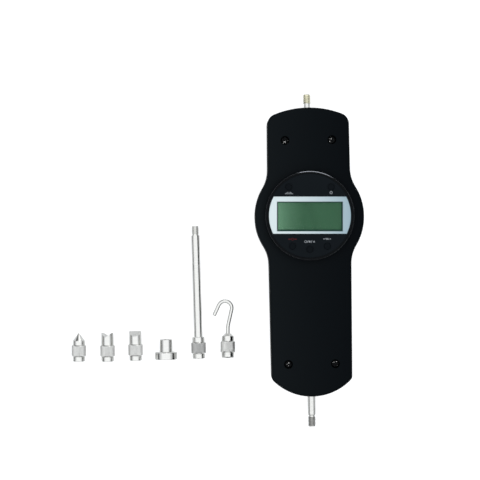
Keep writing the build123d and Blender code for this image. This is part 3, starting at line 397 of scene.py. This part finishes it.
# Turned, ground, brushed and knurled metal
evenMarks = {"fine": (1500, 1500, 1500), "coarse": (900, 900, 900)}
turnedFinishes = {
    "bezelEdge": {
        "light": (0.19, 0.20, 0.22), "dark": (0.14, 0.15, 0.17),
        "rough": (0.16, 0.22), "marks": evenMarks["coarse"], "bump": 0.04,
    },
    "frameSilver": {
        "light": (0.72, 0.80, 0.84), "dark": (0.62, 0.71, 0.76),
        "rough": (0.38, 0.5), "marks": (600, 14000, 600), "bump": 0.05, "metallic": 0.35,
    },
    "headSteel": {"light": (0.76, 0.76, 0.74), "dark": (0.66, 0.66, 0.64), "rough": (0.18, 0.28)},
    "knurlSteel": {
        "light": (0.97, 0.97, 0.95), "dark": (0.68, 0.68, 0.66),
        "rough": (0.3, 0.42), "marks": evenMarks["fine"],
    },
    "knurlDark": {
        "light": (0.72, 0.72, 0.71), "dark": (0.44, 0.44, 0.43),
        "rough": (0.3, 0.42), "marks": evenMarks["fine"],
    },
    "threadWarm": {"light": (0.95, 0.93, 0.78), "dark": (0.74, 0.72, 0.58), "rough": (0.2, 0.3)},
    "threadBright": {"light": (0.88, 0.88, 0.86), "dark": (0.68, 0.68, 0.66), "rough": (0.2, 0.3)},
    # Painted shade: a darker copy of the thread steel, for the bottom thread of the measuring rod
    "threadShaded": {
        "light": (0.66, 0.66, 0.64), "dark": (0.32, 0.32, 0.31),
        "rough": (0.3, 0.45), "marks": evenMarks["coarse"],
    },
    "rodSteel": {"light": (0.78, 0.78, 0.76), "dark": (0.56, 0.56, 0.54), "rough": (0.1, 0.18)},
    "innerSteel": {"light": (0.55, 0.55, 0.54), "dark": (0.45, 0.45, 0.44), "rough": (0.25, 0.4)},
    "springSteel": {"light": (0.3, 0.3, 0.3), "dark": (0.2, 0.2, 0.2), "rough": (0.25, 0.4)},
    "bushBrass": {"light": (0.72, 0.52, 0.26), "dark": (0.6, 0.42, 0.2), "rough": (0.2, 0.35)},
    "carriageMetal": {"light": (0.6, 0.61, 0.63), "dark": (0.5, 0.51, 0.53), "rough": (0.35, 0.5)},
    "cellSteel": {
        "light": (0.68, 0.67, 0.64), "dark": (0.6, 0.59, 0.56),
        "rough": (0.2, 0.3), "marks": (2400, 60, 60),
    },
}
finishes = {name: moulded(name, **look) for name, look in mouldedFinishes.items()}
finishes.update({name: turned(name, **look) for name, look in turnedFinishes.items()})
# Black screws with painted glints: bright metal specks standing in for glints off the cross recesses
finishes["screwBlack"] = glintSpecked("screwBlack", coat=(0.0022, 0.003, 0.004), metal=(0.75, 0.75, 0.73))
windowAlpha = 0.12
finishes["windowClear"].node_tree.nodes["Principled BSDF"].inputs["Alpha"].default_value = windowAlpha

# Painted light: the silver frame, display cell and case are painted lighter on their left, as if lit from
# there. Start and End are metres across
paintedLightFades = {
    "frameSilver": {
        "Left Tone": tone(0.69, 0.78, 0.80), "Right Tone": tone(0.30, 0.42, 0.485),
        "Start": -0.031, "End": 0.031, "Falloff": 1.5,
    },
    "lcdGreen": {
        "Left Tone": tone(0.28, 0.575, 0.36), "Right Tone": tone(0.062, 0.174, 0.093),
        "Start": -0.0243, "End": -0.0043, "Falloff": 0.35,
    },
    "caseBlack": {
        "Left Tone": tone(0.0052, 0.0076, 0.0092), "Right Tone": tone(0.0003, 0.0015, 0.0028),
        "Start": -0.036, "End": 0.036, "Falloff": 0.7,
    },
}
for finishName, paintedFade in paintedLightFades.items():
    tree = finishes[finishName].node_tree
    paintedFading = tree.nodes.new("ShaderNodeGroup")
    paintedFading.node_tree = paintedLightGroup
    for socketName, value in paintedFade.items():
        paintedFading.inputs[socketName].default_value = value
    effect = tree.nodes[marksGroup.name if finishName in turnedFinishes else grainGroup.name]
    for toneName in ("Light Tone", "Dark Tone"):
        tree.links.new(paintedFading.outputs[toneName], effect.inputs[toneName])

nodesOfFinish = {
    "caseBlack": ["front_housing", "rear_housing", "battery_cover"],
    "screwBlack": ["housing_screws"],
    "rodSteel": ["guide_rod"],
    "bushBrass": ["upper_rod_bush", "lower_rod_bush"],
    "carriageMetal": ["rod_carriage"],
    "innerSteel": [
        "carriage_screw", "rod_collar", "collar_screw", "upper_spring_seat", "lower_spring_seat",
        "display_case_screws", "battery_contact", "data_board_screws", "data_socket",
    ],
    "stripGlass": ["scale_strip"],
    "panelBlack": ["face_panel"],
    "frameSilver": ["display_frame"],
    "windowClear": ["lcd_window"],
    "lcdGreen": ["lcd_panel"],
    "zebraRubber": ["lcd_connectors"],
    "circuitGreen": ["main_board", "reader_board", "data_board"],
    "insidePlastic": ["board_connector", "button_switches", "battery_ring"],
    "buttonBlack": ["peak_button", "power_button", "zero_button", "unit_button", "data_button"],
    "cellSteel": ["battery"],
    "headSteel": ["hook_wire"],
}
for finishName, nodeNames in nodesOfFinish.items():
    for nodeName in nodeNames:
        for materialSlot in nodes[nodeName].material_slots:
            materialSlot.material = finishes[finishName]
print("stage: finishes assigned")


# Pieces made here stand for CAD nodes, or lie on them. Their sizes are millimetres until they are placed
toMetres = Matrix.Scale(0.001, 4)
weldDistance = 0.0005
sharpAngle = radians(32)
flatFinishes = ("knurlSteel", "knurlDark")


def facedMesh(bm, name, finishNames, placing):
    bmesh.ops.remove_doubles(bm, verts=bm.verts, dist=weldDistance)
    bmesh.ops.recalc_face_normals(bm, faces=bm.faces)
    for face in bm.faces:
        face.smooth = finishNames[face.material_index] not in flatFinishes
    bmesh.ops.transform(bm, matrix=placing @ toMetres, verts=bm.verts)
    mesh = bpy.data.meshes.new(name)
    bm.to_mesh(mesh)
    bm.free()
    for finishName in finishNames:
        mesh.materials.append(finishes[finishName])
    mesh.set_sharp_from_angle(angle=sharpAngle)
    piece = bpy.data.objects.new(name, mesh)
    scene.collection.objects.link(piece)
    return piece


def mounted(piece, body, slot, *replaced):
    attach(piece, body)
    if replaced:
        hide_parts(*replaced)


def drawLine(bm, points):
    # Points are (radius, distance along the axis Y)
    line = [bm.verts.new((radius, along, 0)) for radius, along in points]
    return line + [bm.edges.new(pair) for pair in zip(line, line[1:])]


def spinBody(bm, points, steps):
    line = drawLine(bm, points)
    bmesh.ops.spin(
        bm, geom=line, cent=(0, 0, 0), axis=(0, 1, 0), angle=2 * pi, steps=steps, use_merge=True
    )


def reachOf(point):
    # How far a point is from the axis Y
    return (point.x**2 + point.z**2) ** 0.5


def wholeMesh(bm):
    return bm.verts[:] + bm.edges[:] + bm.faces[:]


def cutAway(bm, cutters):
    # Takes the cutters out of a closed body, and gives the body that is left
    solids = []
    for name, shape in (("uncutBody", bm), ("cutters", cutters)):
        bmesh.ops.remove_doubles(shape, verts=shape.verts, dist=weldDistance)
        bmesh.ops.recalc_face_normals(shape, faces=shape.faces)
        mesh = bpy.data.meshes.new(name)
        shape.to_mesh(mesh)
        shape.free()
        solids.append(bpy.data.objects.new(name, mesh))
        scene.collection.objects.link(solids[-1])
    cut = solids[0].modifiers.new("cut", "BOOLEAN")
    cut.operation = "DIFFERENCE"
    cut.solver = "EXACT"
    cut.object = solids[1]
    left = bmesh.new()
    left.from_mesh(solids[0].evaluated_get(bpy.context.evaluated_depsgraph_get()).to_mesh())
    for solid in solids:
        bpy.data.objects.remove(solid)
    return left


def clampRadius(bm, allowed):
    # Draws every point of a turned piece in to the radius that allowed gives for its distance along Y
    for vert in bm.verts:
        reach = reachOf(vert.co)
        limit = allowed(vert.co.y)
        if reach > limit > 0:
            vert.co.x *= limit / reach
            vert.co.z *= limit / reach


# M6 thread. Its profile gives how far along one turn each flank starts and ends
thread = {
    "crest": 2.95, "root": 2.42, "pitch": 1.0, "steps": 32, "tip": 2.45, "spareTurns": 1.5, "weld": 0.001,
    "profile": (("root", 0.06), ("crest", 0.44), ("crest", 0.56), ("root", 0.94), ("root", 1.06)),
}


def threadShell(start, end, tipAtEnd, threadSlot):
    # A closed length of thread along Y, with its tip chamfered at one end
    bm = bmesh.new()
    pitch = thread["pitch"]
    turns = int((end - start) / pitch + 2 * thread["spareTurns"])
    first = start - thread["spareTurns"] * pitch
    line = [(thread[level], first + share * pitch) for level, share in thread["profile"]]
    bmesh.ops.spin(
        bm,
        geom=drawLine(bm, line),
        cent=(0, 0, 0),
        axis=(0, 1, 0),
        dvec=(0, pitch / thread["steps"], 0),
        angle=2 * pi * turns,
        steps=turns * thread["steps"],
    )
    bmesh.ops.remove_doubles(bm, verts=bm.verts, dist=thread["weld"])
    for where, side in ((start, -1), (end, 1)):
        bmesh.ops.bisect_plane(
            bm, geom=wholeMesh(bm), plane_co=(0, where, 0), plane_no=(0, side, 0), clear_outer=True
        )
        mouth = [edge for edge in bm.edges if edge.is_boundary and abs(edge.verts[0].co.y - where) < 0.01]
        bmesh.ops.edgeloop_fill(bm, edges=mouth)
    tip = end if tipAtEnd else start
    clampRadius(bm, lambda along: thread["tip"] + abs(tip - along))
    for face in bm.faces:
        face.material_index = threadSlot
    return bm


def joinInto(bm, other):
    scrap = bpy.data.meshes.new("scrap")
    other.to_mesh(scrap)
    other.free()
    bm.from_mesh(scrap)
    bpy.data.meshes.remove(scrap)


# Measuring rod: ground bar, a neck behind each thread
rod = {
    "top": 119.0, "bottom": -131.9, "radius": 3.0, "neck": 2.35, "height": 19.0, "steps": 48,
    "topThread": 6.9, "topNeck": 4.6, "bottomThread": 7.4, "bottomNeck": 1.6, "neckFlare": 0.5,
}
rodPlace = Matrix.Translation((0, 0, rod["height"] / 1000))
bm = bmesh.new()
topThreadStart = rod["top"] - rod["topThread"]
bottomThreadEnd = rod["bottom"] + rod["bottomThread"]
spinBody(bm, [
    (0, bottomThreadEnd),
    (rod["neck"], bottomThreadEnd),
    (rod["neck"], bottomThreadEnd + rod["bottomNeck"] - rod["neckFlare"]),
    (rod["radius"], bottomThreadEnd + rod["bottomNeck"]),
    (rod["radius"], topThreadStart - rod["topNeck"]),
    (rod["neck"], topThreadStart - rod["topNeck"] + rod["neckFlare"]),
    (rod["neck"], topThreadStart),
    (0, topThreadStart),
], rod["steps"])
joinInto(bm, threadShell(topThreadStart, rod["top"], True, 1))
joinInto(bm, threadShell(rod["bottom"], bottomThreadEnd, False, 2))
# The bottom thread takes a darker copy of the thread steel: painted shade
measuringRod = facedMesh(bm, "measuringRod", ["rodSteel", "threadWarm", "threadShaded"], rodPlace)
mounted(measuringRod, "rod", "rod_steel", "measuring_rod")


# Springs: flat wire, five turns each, stretched between the collar and the seats. Each is listed with its
# node, its start and end along the rod, and the body that holds each of these
spring = {"radius": 6.2, "wire": (1.3, 1.7), "turns": 5, "steps": 30}
for springName, node, start, end, first, second in (
    ("upperSpring", "upper_spring", -37.7, 2.6, "rod", "gauge"),
    ("lowerSpring", "lower_spring", -86.0, -45.7, "gauge", "rod"),
):
    bm = bmesh.new()
    bmesh.ops.create_grid(bm, x_segments=1, y_segments=1, size=0.5)
    bmesh.ops.scale(bm, vec=(*spring["wire"], 1), verts=bm.verts)
    bmesh.ops.translate(bm, vec=(spring["radius"], start + spring["wire"][1] / 2, 0), verts=bm.verts)
    rise = end - start - spring["wire"][1]
    steps = spring["turns"] * spring["steps"]
    bmesh.ops.spin(
        bm,
        geom=wholeMesh(bm),
        cent=(0, 0, 0),
        axis=(0, 1, 0),
        dvec=(0, rise / steps, 0),
        angle=2 * pi * spring["turns"],
        steps=steps,
    )
    coil = facedMesh(bm, springName, ["springSteel"], rodPlace)
    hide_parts(node)
    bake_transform(coil)


# Bezel of the display: black, with a bright cut edge
bezel = {
    "dialY": 27.0, "radius": 33.1, "rim": 44.0, "edge": 0.5, "edgeDrop": 0.42, "seat": 31.4,
    "bottom": 30.0, "floor": 31.6, "flange": 37.4, "flangeTop": 35.4, "flangeBottom": 33.2,
    "panelBottom": 41.9, "ledge": 30.0, "boardBottom": 37.0, "boardLedge": 27.8, "steps": 160,
    "slot": (12.6, 3.1), "slotY": 12.0,
    "screwRing": 35.4, "screwHole": 1.05, "screwTurns": (90, 210, 330), "screwSteps": 24,
}
bm = bmesh.new()
spinBody(bm, [
    (0, bezel["bottom"]),
    (bezel["radius"], bezel["bottom"]),
    (bezel["radius"], bezel["flangeBottom"]),
    (bezel["flange"], bezel["flangeBottom"]),
    (bezel["flange"], bezel["flangeTop"]),
    (bezel["radius"], bezel["flangeTop"]),
    (bezel["radius"], bezel["rim"] - bezel["edgeDrop"]),
    (bezel["radius"] - bezel["edge"], bezel["rim"]),
    (bezel["seat"], bezel["rim"]),
    (bezel["seat"], bezel["panelBottom"]),
    (bezel["ledge"], bezel["panelBottom"]),
    (bezel["ledge"], bezel["boardBottom"]),
    (bezel["boardLedge"], bezel["boardBottom"]),
    (bezel["boardLedge"], bezel["floor"]),
    (0, bezel["floor"]),
], bezel["steps"])
# The slot for the connector through the floor, and the screw holes of the flange
cutters = bmesh.new()
slotSize = (bezel["slot"][0], 2 * (bezel["floor"] - bezel["bottom"]), bezel["slot"][1], 1)
slotPlace = Matrix.Translation((0, (bezel["bottom"] + bezel["floor"]) / 2, -bezel["slotY"]))
bmesh.ops.create_cube(cutters, size=1, matrix=slotPlace @ Matrix.Diagonal(slotSize))
standing = Matrix.Rotation(radians(90), 4, "X")
flangeMiddle = (bezel["flangeBottom"] + bezel["flangeTop"]) / 2
for turn in bezel["screwTurns"]:
    across = Vector((cos(radians(turn)), 0, -sin(radians(turn)))) * bezel["screwRing"]
    bmesh.ops.create_cone(
        cutters,
        cap_ends=True,
        segments=bezel["screwSteps"],
        radius1=bezel["screwHole"],
        radius2=bezel["screwHole"],
        depth=2 * (bezel["flangeTop"] - bezel["flangeBottom"]),
        matrix=Matrix.Translation(across + Vector((0, flangeMiddle, 0))) @ standing,
    )
bm = cutAway(bm, cutters)
for face in bm.faces:
    middle = face.calc_center_median()
    onEdge = bezel["radius"] - bezel["edge"] < reachOf(middle) < bezel["radius"]
    face.material_index = 1 if onEdge and middle.y > bezel["rim"] - bezel["edgeDrop"] else 0
upright = Matrix.Translation((0, bezel["dialY"] / 1000, 0)) @ standing
displayBezel = facedMesh(bm, "displayBezel", ["bezelBlack", "bezelEdge"], upright)
mounted(displayBezel, "gauge", "display_black", "display_case")


# Marks printed on the face: bars, rings and arrows, from the middle of the display
dialTurn = -0.9
dialFace = {"panel": 43.6, "window": 42.4, "ink": 0.03}
ring = {"outer": 0.5, "inner": 0.32, "steps": 24}
onDial = Matrix.Translation((0, bezel["dialY"] / 1000, 0)) @ Matrix.Rotation(radians(dialTurn), 4, "Z")


def inkAndShadePlate(bm, kind, x, y, width, height, turn=0, base=dialFace["panel"]):
    patch = bmesh.new()
    if kind == "bar":
        bmesh.ops.create_grid(patch, x_segments=1, y_segments=1, size=0.5)
    elif kind == "arrow":
        bmesh.ops.create_circle(patch, cap_ends=True, segments=3, radius=0.5)
    elif kind == "ring":
        for radius in (ring["outer"], ring["inner"]):
            bmesh.ops.create_circle(patch, cap_ends=False, segments=ring["steps"], radius=radius)
        bmesh.ops.bridge_loops(patch, edges=patch.edges[:])
    bmesh.ops.scale(patch, vec=(width, height, 1), verts=patch.verts)
    bmesh.ops.rotate(patch, cent=(0, 0, 0), matrix=Matrix.Rotation(radians(turn), 3, "Z"), verts=patch.verts)
    bmesh.ops.translate(patch, vec=(x, y, base + dialFace["ink"]), verts=patch.verts)
    bmesh.ops.recalc_face_normals(patch, faces=patch.faces)
    bmesh.ops.solidify(patch, geom=patch.faces[:], thickness=dialFace["ink"])
    joinInto(bm, patch)


# Each plate is its kind, its place x and y, its width and height, and its turn in degrees
marks = {
    "peakMark": ("printWhite", (-15.5, 16.8), [
        ("bar", -2.7, -0.5, 0.45, 0.7, 0), ("bar", -1.8, -0.25, 0.45, 1.2, 0),
        ("bar", -0.9, 0, 0.45, 1.7, 0), ("bar", 0, -0.25, 0.45, 1.2, 0), ("bar", 0.9, 0, 0.45, 1.7, 0),
        ("bar", 1.8, -0.25, 0.45, 1.2, 0), ("bar", 2.7, -0.5, 0.45, 0.7, 0),
    ]),
    "powerMark": ("printWhite", (15.7, 17.1), [
        ("ring", 0, 0, 2.2, 2.2, 0), ("bar", 0, 0.8, 0.35, 1.2, 0),
    ]),
    "zeroMark": ("printRed", (-12.9, -17.4), [
        ("bar", -2.2, 0, 1.8, 0.7, 0), ("ring", 0, 0, 1.9, 1.9, 0), ("bar", 2.2, 0, 1.8, 0.7, 0),
    ]),
    "unitMark": ("printWhite", (0.0, -19.2), [
        ("ring", -3.2, 0, 1.8, 1.8, 0), ("bar", -1.7, 0, 0.4, 1.9, -20), ("bar", -0.3, 0, 1.3, 1.3, 0),
        ("bar", 1.2, 0, 0.4, 1.9, -20), ("arrow", 3.0, -0.1, 2.0, 1.9, 0),
    ]),
    "dataMark": ("printWhite", (12.7, -17.2), [
        ("arrow", -2.3, 0, 1.4, 1.4, 90), ("bar", -0.2, 0.35, 2.4, 0.4, 0),
        ("bar", 0.2, -0.35, 2.4, 0.4, 0), ("arrow", 2.3, 0, 1.4, 1.4, -90),
    ]),
}
for markName, (ink, (x, y), plates) in marks.items():
    bm = bmesh.new()
    for kind, dx, dy, width, height, turn in plates:
        inkAndShadePlate(bm, kind, x + dx, y + dy, width, height, turn)
    mounted(facedMesh(bm, markName, [ink], onDial), "gauge", "panel_black")


# Painted shadow: dark strips round the edge of the display cell, where the window's edge shades it, widest
# along the bottom
cell = {"width": 48.6, "height": 21.8, "y": -0.6, "left": 0.7, "right": 0.9, "top": 0.6, "bottom": 1.25}
bm = bmesh.new()
across = cell["width"] / 2
up = cell["height"] / 2
between = cell["width"] - cell["left"] - cell["right"]
for x, y, width, height in (
    (-across + cell["left"] / 2, 0, cell["left"], cell["height"]),
    (across - cell["right"] / 2, 0, cell["right"], cell["height"]),
    (0, up - cell["top"] / 2, between, cell["top"]),
    (0, -up + cell["bottom"] / 2, between, cell["bottom"]),
):
    inkAndShadePlate(bm, "bar", x, y + cell["y"], width, height, 0, dialFace["window"])
mounted(facedMesh(bm, "cellEdgeShade", ["paintedCellShade"], onDial), "gauge", "clear_window")
print("stage: rod, springs, bezel and marks")


# Measuring heads: turned bar with an M6 socket, a knurled collar and a shoulder, lying along Y
head = {
    "bore": 2.5, "boreCrest": 2.85, "boreMouth": 0.5, "boreThreadEnd": 1.2, "depth": 9.0,
    "base": 4.75, "baseLength": 4.1, "groove": 4.35, "grooveStart": 0.6, "grooveFull": 0.4,
    "knurl": 5.65, "knurlLength": 8.3, "knurlEdge": 0.45, "knurlDepth": 0.24, "knurlRows": 13,
    "knurlSlack": 0.05, "knurlBand": 0.4, "shoulder": 4.7, "shoulderEdge": 0.2, "edge": 0.35, "steps": 60,
}
collarEnd = head["baseLength"] + head["knurlLength"]
knurlStart = head["baseLength"] + head["knurlEdge"]
knurlEnd = collarEnd - head["knurlEdge"]
knurlPitch = (knurlEnd - knurlStart) / head["knurlRows"]


def boreLine(depth):
    # From the bottom of the bore out to its mouth, over the crests of its thread
    points = [(0, depth + head["bore"] / 2), (head["bore"], depth)]
    along = depth - thread["pitch"] / 2
    while along > head["boreThreadEnd"]:
        points += [(head["boreCrest"], along), (head["bore"], along - thread["pitch"] / 2)]
        along -= thread["pitch"]
    return points + [(head["bore"], head["boreMouth"]), (head["bore"] + head["boreMouth"], 0)]


def collarLine():
    rows = [(head["knurl"], knurlStart + knurlPitch * row) for row in range(head["knurlRows"] + 1)]
    return boreLine(head["depth"]) + [
        (head["base"] - head["edge"], 0),
        (head["base"], head["edge"]),
        (head["base"], head["baseLength"] - head["grooveStart"]),
        (head["groove"], head["baseLength"] - head["grooveFull"]),
        (head["groove"], head["baseLength"]),
        (head["knurl"] - head["knurlEdge"], head["baseLength"]),
        *rows,
        (head["knurl"] - head["knurlEdge"], collarEnd),
        (head["shoulder"] - head["shoulderEdge"], collarEnd),
        (head["shoulder"], collarEnd + head["shoulderEdge"]),
    ]


def cutKnurl(bm):
    # Every other point of the collar goes in, which leaves rows of small pyramids
    bmesh.ops.remove_doubles(bm, verts=bm.verts, dist=weldDistance)
    low = knurlStart - head["knurlSlack"]
    high = knurlEnd + head["knurlSlack"]
    scaleIn = 1 - head["knurlDepth"] / head["knurl"]
    for vert in bm.verts:
        if reachOf(vert.co) > head["knurl"] - head["knurlSlack"] and low < vert.co.y < high:
            row = round((vert.co.y - knurlStart) / knurlPitch)
            turn = Vector((vert.co.x, vert.co.z)).angle_signed(Vector((1, 0)))
            step = round(turn / (2 * pi / head["steps"]))
            if (row + step) % 2:
                vert.co.x *= scaleIn
                vert.co.z *= scaleIn
    raised = head["knurl"] - head["knurlBand"]
    onBand = {vert for vert in bm.verts if low < vert.co.y < high and reachOf(vert.co) > raised}
    band = [face for face in bm.faces if onBand.issuperset(face.verts)]
    for face in bmesh.ops.triangulate(bm, faces=band, quad_method="SHORT_EDGE")["faces"]:
        face.material_index = 1


def lyingAt(x, y, height, heading, dip=0.0, roll=0.0):
    return (
        Matrix.Translation((x / 1000, y / 1000, height / 1000))
        @ Matrix.Rotation(radians(heading), 4, "Z")
        @ Matrix.Rotation(radians(-dip), 4, "X")
        @ Matrix.Rotation(radians(roll), 4, "Y")
    )


def halve(bm, point, away):
    # Cuts off what lies beyond a plane, and closes the cut
    bmesh.ops.bisect_plane(
        bm, geom=wholeMesh(bm), dist=weldDistance, plane_co=point, plane_no=away, clear_outer=True
    )
    bmesh.ops.holes_fill(bm, edges=[edge for edge in bm.edges if edge.is_boundary])


# Cone head
cone = {"shoulder": 3.7, "edge": (0.12, 0.15), "length": 5.7, "tip": (0.35, 0.1)}
conePlace = {"x": -176.7, "y": -81.1, "height": head["knurl"], "heading": -0.6}
bm = bmesh.new()
foot = collarEnd + cone["shoulder"]
spinBody(bm, collarLine() + [
    (head["shoulder"], foot - cone["edge"][1]),
    (head["shoulder"] - cone["edge"][0], foot),
    (cone["tip"][0], foot + cone["length"] - cone["tip"][1]),
    (0, foot + cone["length"]),
], head["steps"])
cutKnurl(bm)
coneHead = facedMesh(bm, "coneHead", ["headSteel", "knurlSteel"], lyingAt(**conePlace))
mounted(coneHead, "cone", "head_chrome", "cone_head")

# Notch head: a V cut across its end. The cutting wedge reaches past the end by the share given
notch = {"body": 9.9, "depth": 3.8, "reach": 1.5}
notchPlace = {"x": -154.7, "y": -81.5, "height": head["knurl"], "heading": -0.2, "roll": -18}
bm = bmesh.new()
notchTop = collarEnd + notch["body"]
notchBottom = notchTop - notch["depth"]
spinBody(bm, collarLine() + [(head["shoulder"], notchTop), (0, notchTop)], head["steps"])
wedge = bmesh.new()
wedgeSize = (2 * notch["reach"] * head["shoulder"], notch["reach"] * notch["depth"], 4 * head["shoulder"], 1)
wedgePlace = Matrix.Translation((0, notchBottom + wedgeSize[1] / 2, 0))
bmesh.ops.create_cube(wedge, size=1, matrix=wedgePlace @ Matrix.Diagonal(wedgeSize))
for vert in wedge.verts:
    if vert.co.y < notchBottom + 0.01:
        vert.co.x = 0
bm = cutAway(bm, wedge)
cutKnurl(bm)
notchHead = facedMesh(bm, "notchHead", ["headSteel", "knurlSteel"], lyingAt(**notchPlace))
mounted(notchHead, "notch", "head_chrome", "notch_head")

# Chisel head: two flats meet in a straight edge
chisel = {"body": 10.2, "wedge": 3.9, "edge": 0.6}
chiselPlace = {"x": -133.3, "y": -81.1, "height": head["knurl"], "heading": 0.0}
bm = bmesh.new()
chiselTop = collarEnd + chisel["body"]
spinBody(bm, collarLine() + [(head["shoulder"], chiselTop), (0, chiselTop)], head["steps"])
cutKnurl(bm)
for side in (-1, 1):
    slope = Vector((0, head["shoulder"] - chisel["edge"] / 2, side * chisel["wedge"])).normalized()
    halve(bm, (0, chiselTop, side * chisel["edge"] / 2), slope)
chiselHead = facedMesh(bm, "chiselHead", ["headSteel", "knurlSteel"], lyingAt(**chiselPlace))
mounted(chiselHead, "chisel", "head_chrome", "chisel_head")

# Flat head: a thick disc on a plain stem
flat = {
    "stem": 4.85, "stemLength": 9.8, "foot": 0.3, "disc": 8.5, "thickness": 5.6, "depth": 11.0, "edge": 0.35,
    "steps": 72,
}
flatPlace = {"x": -109.8, "y": -65.0, "height": flat["disc"], "heading": 179.6}
bm = bmesh.new()
discEnd = flat["stemLength"] + flat["thickness"]
spinBody(bm, boreLine(flat["depth"]) + [
    (flat["stem"] - flat["edge"], 0),
    (flat["stem"], flat["edge"]),
    (flat["stem"], flat["stemLength"] - flat["foot"]),
    (flat["stem"] + flat["foot"], flat["stemLength"]),
    (flat["disc"] - flat["edge"], flat["stemLength"]),
    (flat["disc"], flat["stemLength"] + flat["edge"]),
    (flat["disc"], discEnd - flat["edge"]),
    (flat["disc"] - flat["edge"], discEnd),
    (0, discEnd),
], flat["steps"])
flatHead = facedMesh(bm, "flatHead", ["headSteel"], lyingAt(**flatPlace))
mounted(flatHead, "flat", "head_chrome", "flat_head")

# Extension rod: its far end is threaded like the measuring rod's
extension = {
    "shoulder": 4.1, "length": 101.5, "radius": 3.25, "neck": 2.35, "neckLength": 1.0, "neckFlare": 0.1,
    "thread": 6.4,
}
extensionPlace = {"x": -85.0, "y": -80.3, "height": 5.9966, "heading": 0.8, "dip": 1.6734}
bm = bmesh.new()
barStart = collarEnd + extension["shoulder"]
threadStart = extension["length"] - extension["thread"]
barEnd = threadStart - extension["neckLength"]
spinBody(bm, collarLine() + [
    (head["shoulder"], barStart - head["edge"]),
    (head["shoulder"] - head["edge"], barStart),
    (extension["radius"], barStart),
    (extension["radius"], barEnd),
    (extension["neck"], barEnd + extension["neckFlare"]),
    (extension["neck"], threadStart),
    (0, threadStart),
], head["steps"])
cutKnurl(bm)
joinInto(bm, threadShell(threadStart, extension["length"], True, 2))
extensionFinishes = ["headSteel", "knurlDark", "threadBright"]
extensionRod = facedMesh(bm, "extensionRod", extensionFinishes, lyingAt(**extensionPlace))
mounted(extensionRod, "extension", "head_chrome", "extension_rod")

# Hook: collar drawn in to the wire
hook = {"shoulder": 4.0, "cone": 2.0, "coneRadius": 2.3, "wire": 1.53, "wireStart": 11.47}
hookPlace = {"x": -62.9, "y": -79.9, "height": 7.1625, "heading": -0.9, "dip": 7.5054}
bm = bmesh.new()
coneStart = collarEnd + hook["shoulder"]
spinBody(bm, collarLine() + [
    (head["shoulder"], coneStart - head["shoulderEdge"]),
    (head["shoulder"] - head["shoulderEdge"], coneStart),
    (hook["coneRadius"], coneStart + hook["cone"]),
    (hook["wire"], coneStart + hook["cone"]),
    (hook["wire"], hook["wireStart"]),
    (0, hook["wireStart"]),
], head["steps"])
cutKnurl(bm)
hookCollar = facedMesh(bm, "hookCollar", ["headSteel", "knurlSteel"], lyingAt(**hookPlace))
mounted(hookCollar, "hook", "head_chrome", "hook_collar")
print("stage: measuring heads")


# Table: pale, with a glow of its own that only the camera, gloss and glass see
table = {
    "size": 3.0, "height": -0.0002, "tone": (0.62, 0.63, 0.64), "rough": 0.8, "specular": 0.1,
    "glow": (1, 1, 1), "glowSeen": 0.72, "glowReflected": 0.3,
}
bm = bmesh.new()
tablePlace = Matrix.Translation((0, 0, table["height"]))
bmesh.ops.create_grid(bm, x_segments=1, y_segments=1, size=table["size"], matrix=tablePlace)
tableMesh = bpy.data.meshes.new("tableTop")
bm.to_mesh(tableMesh)
bm.free()
tableTop = bpy.data.objects.new("tableTop", tableMesh)
scene.collection.objects.link(tableTop)
tableFinish = bpy.data.materials.new("tableWhite")
tableFinish.use_nodes = True
tree = tableFinish.node_tree
surface = tree.nodes["Principled BSDF"]
surface.inputs["Base Color"].default_value = tone(*table["tone"])
surface.inputs["Roughness"].default_value = table["rough"]
surface.inputs["Specular IOR Level"].default_value = table["specular"]
surface.inputs["Emission Color"].default_value = tone(*table["glow"])
rays = tree.nodes.new("ShaderNodeLightPath")
reflected = mathNode(tree, "MAXIMUM")
dimmed = mathNode(tree, "MULTIPLY", table["glowReflected"])
level = mathNode(tree, "MULTIPLY_ADD", table["glowSeen"])
tree.links.new(rays.outputs["Is Glossy Ray"], reflected.inputs[0])
tree.links.new(rays.outputs["Is Transmission Ray"], reflected.inputs[1])
tree.links.new(reflected.outputs[0], dimmed.inputs[0])
tree.links.new(rays.outputs["Is Camera Ray"], level.inputs[0])
tree.links.new(dimmed.outputs[0], level.inputs[2])
tree.links.new(level.outputs[0], surface.inputs["Emission Strength"])
tableMesh.materials.append(tableFinish)

print("stage: done")
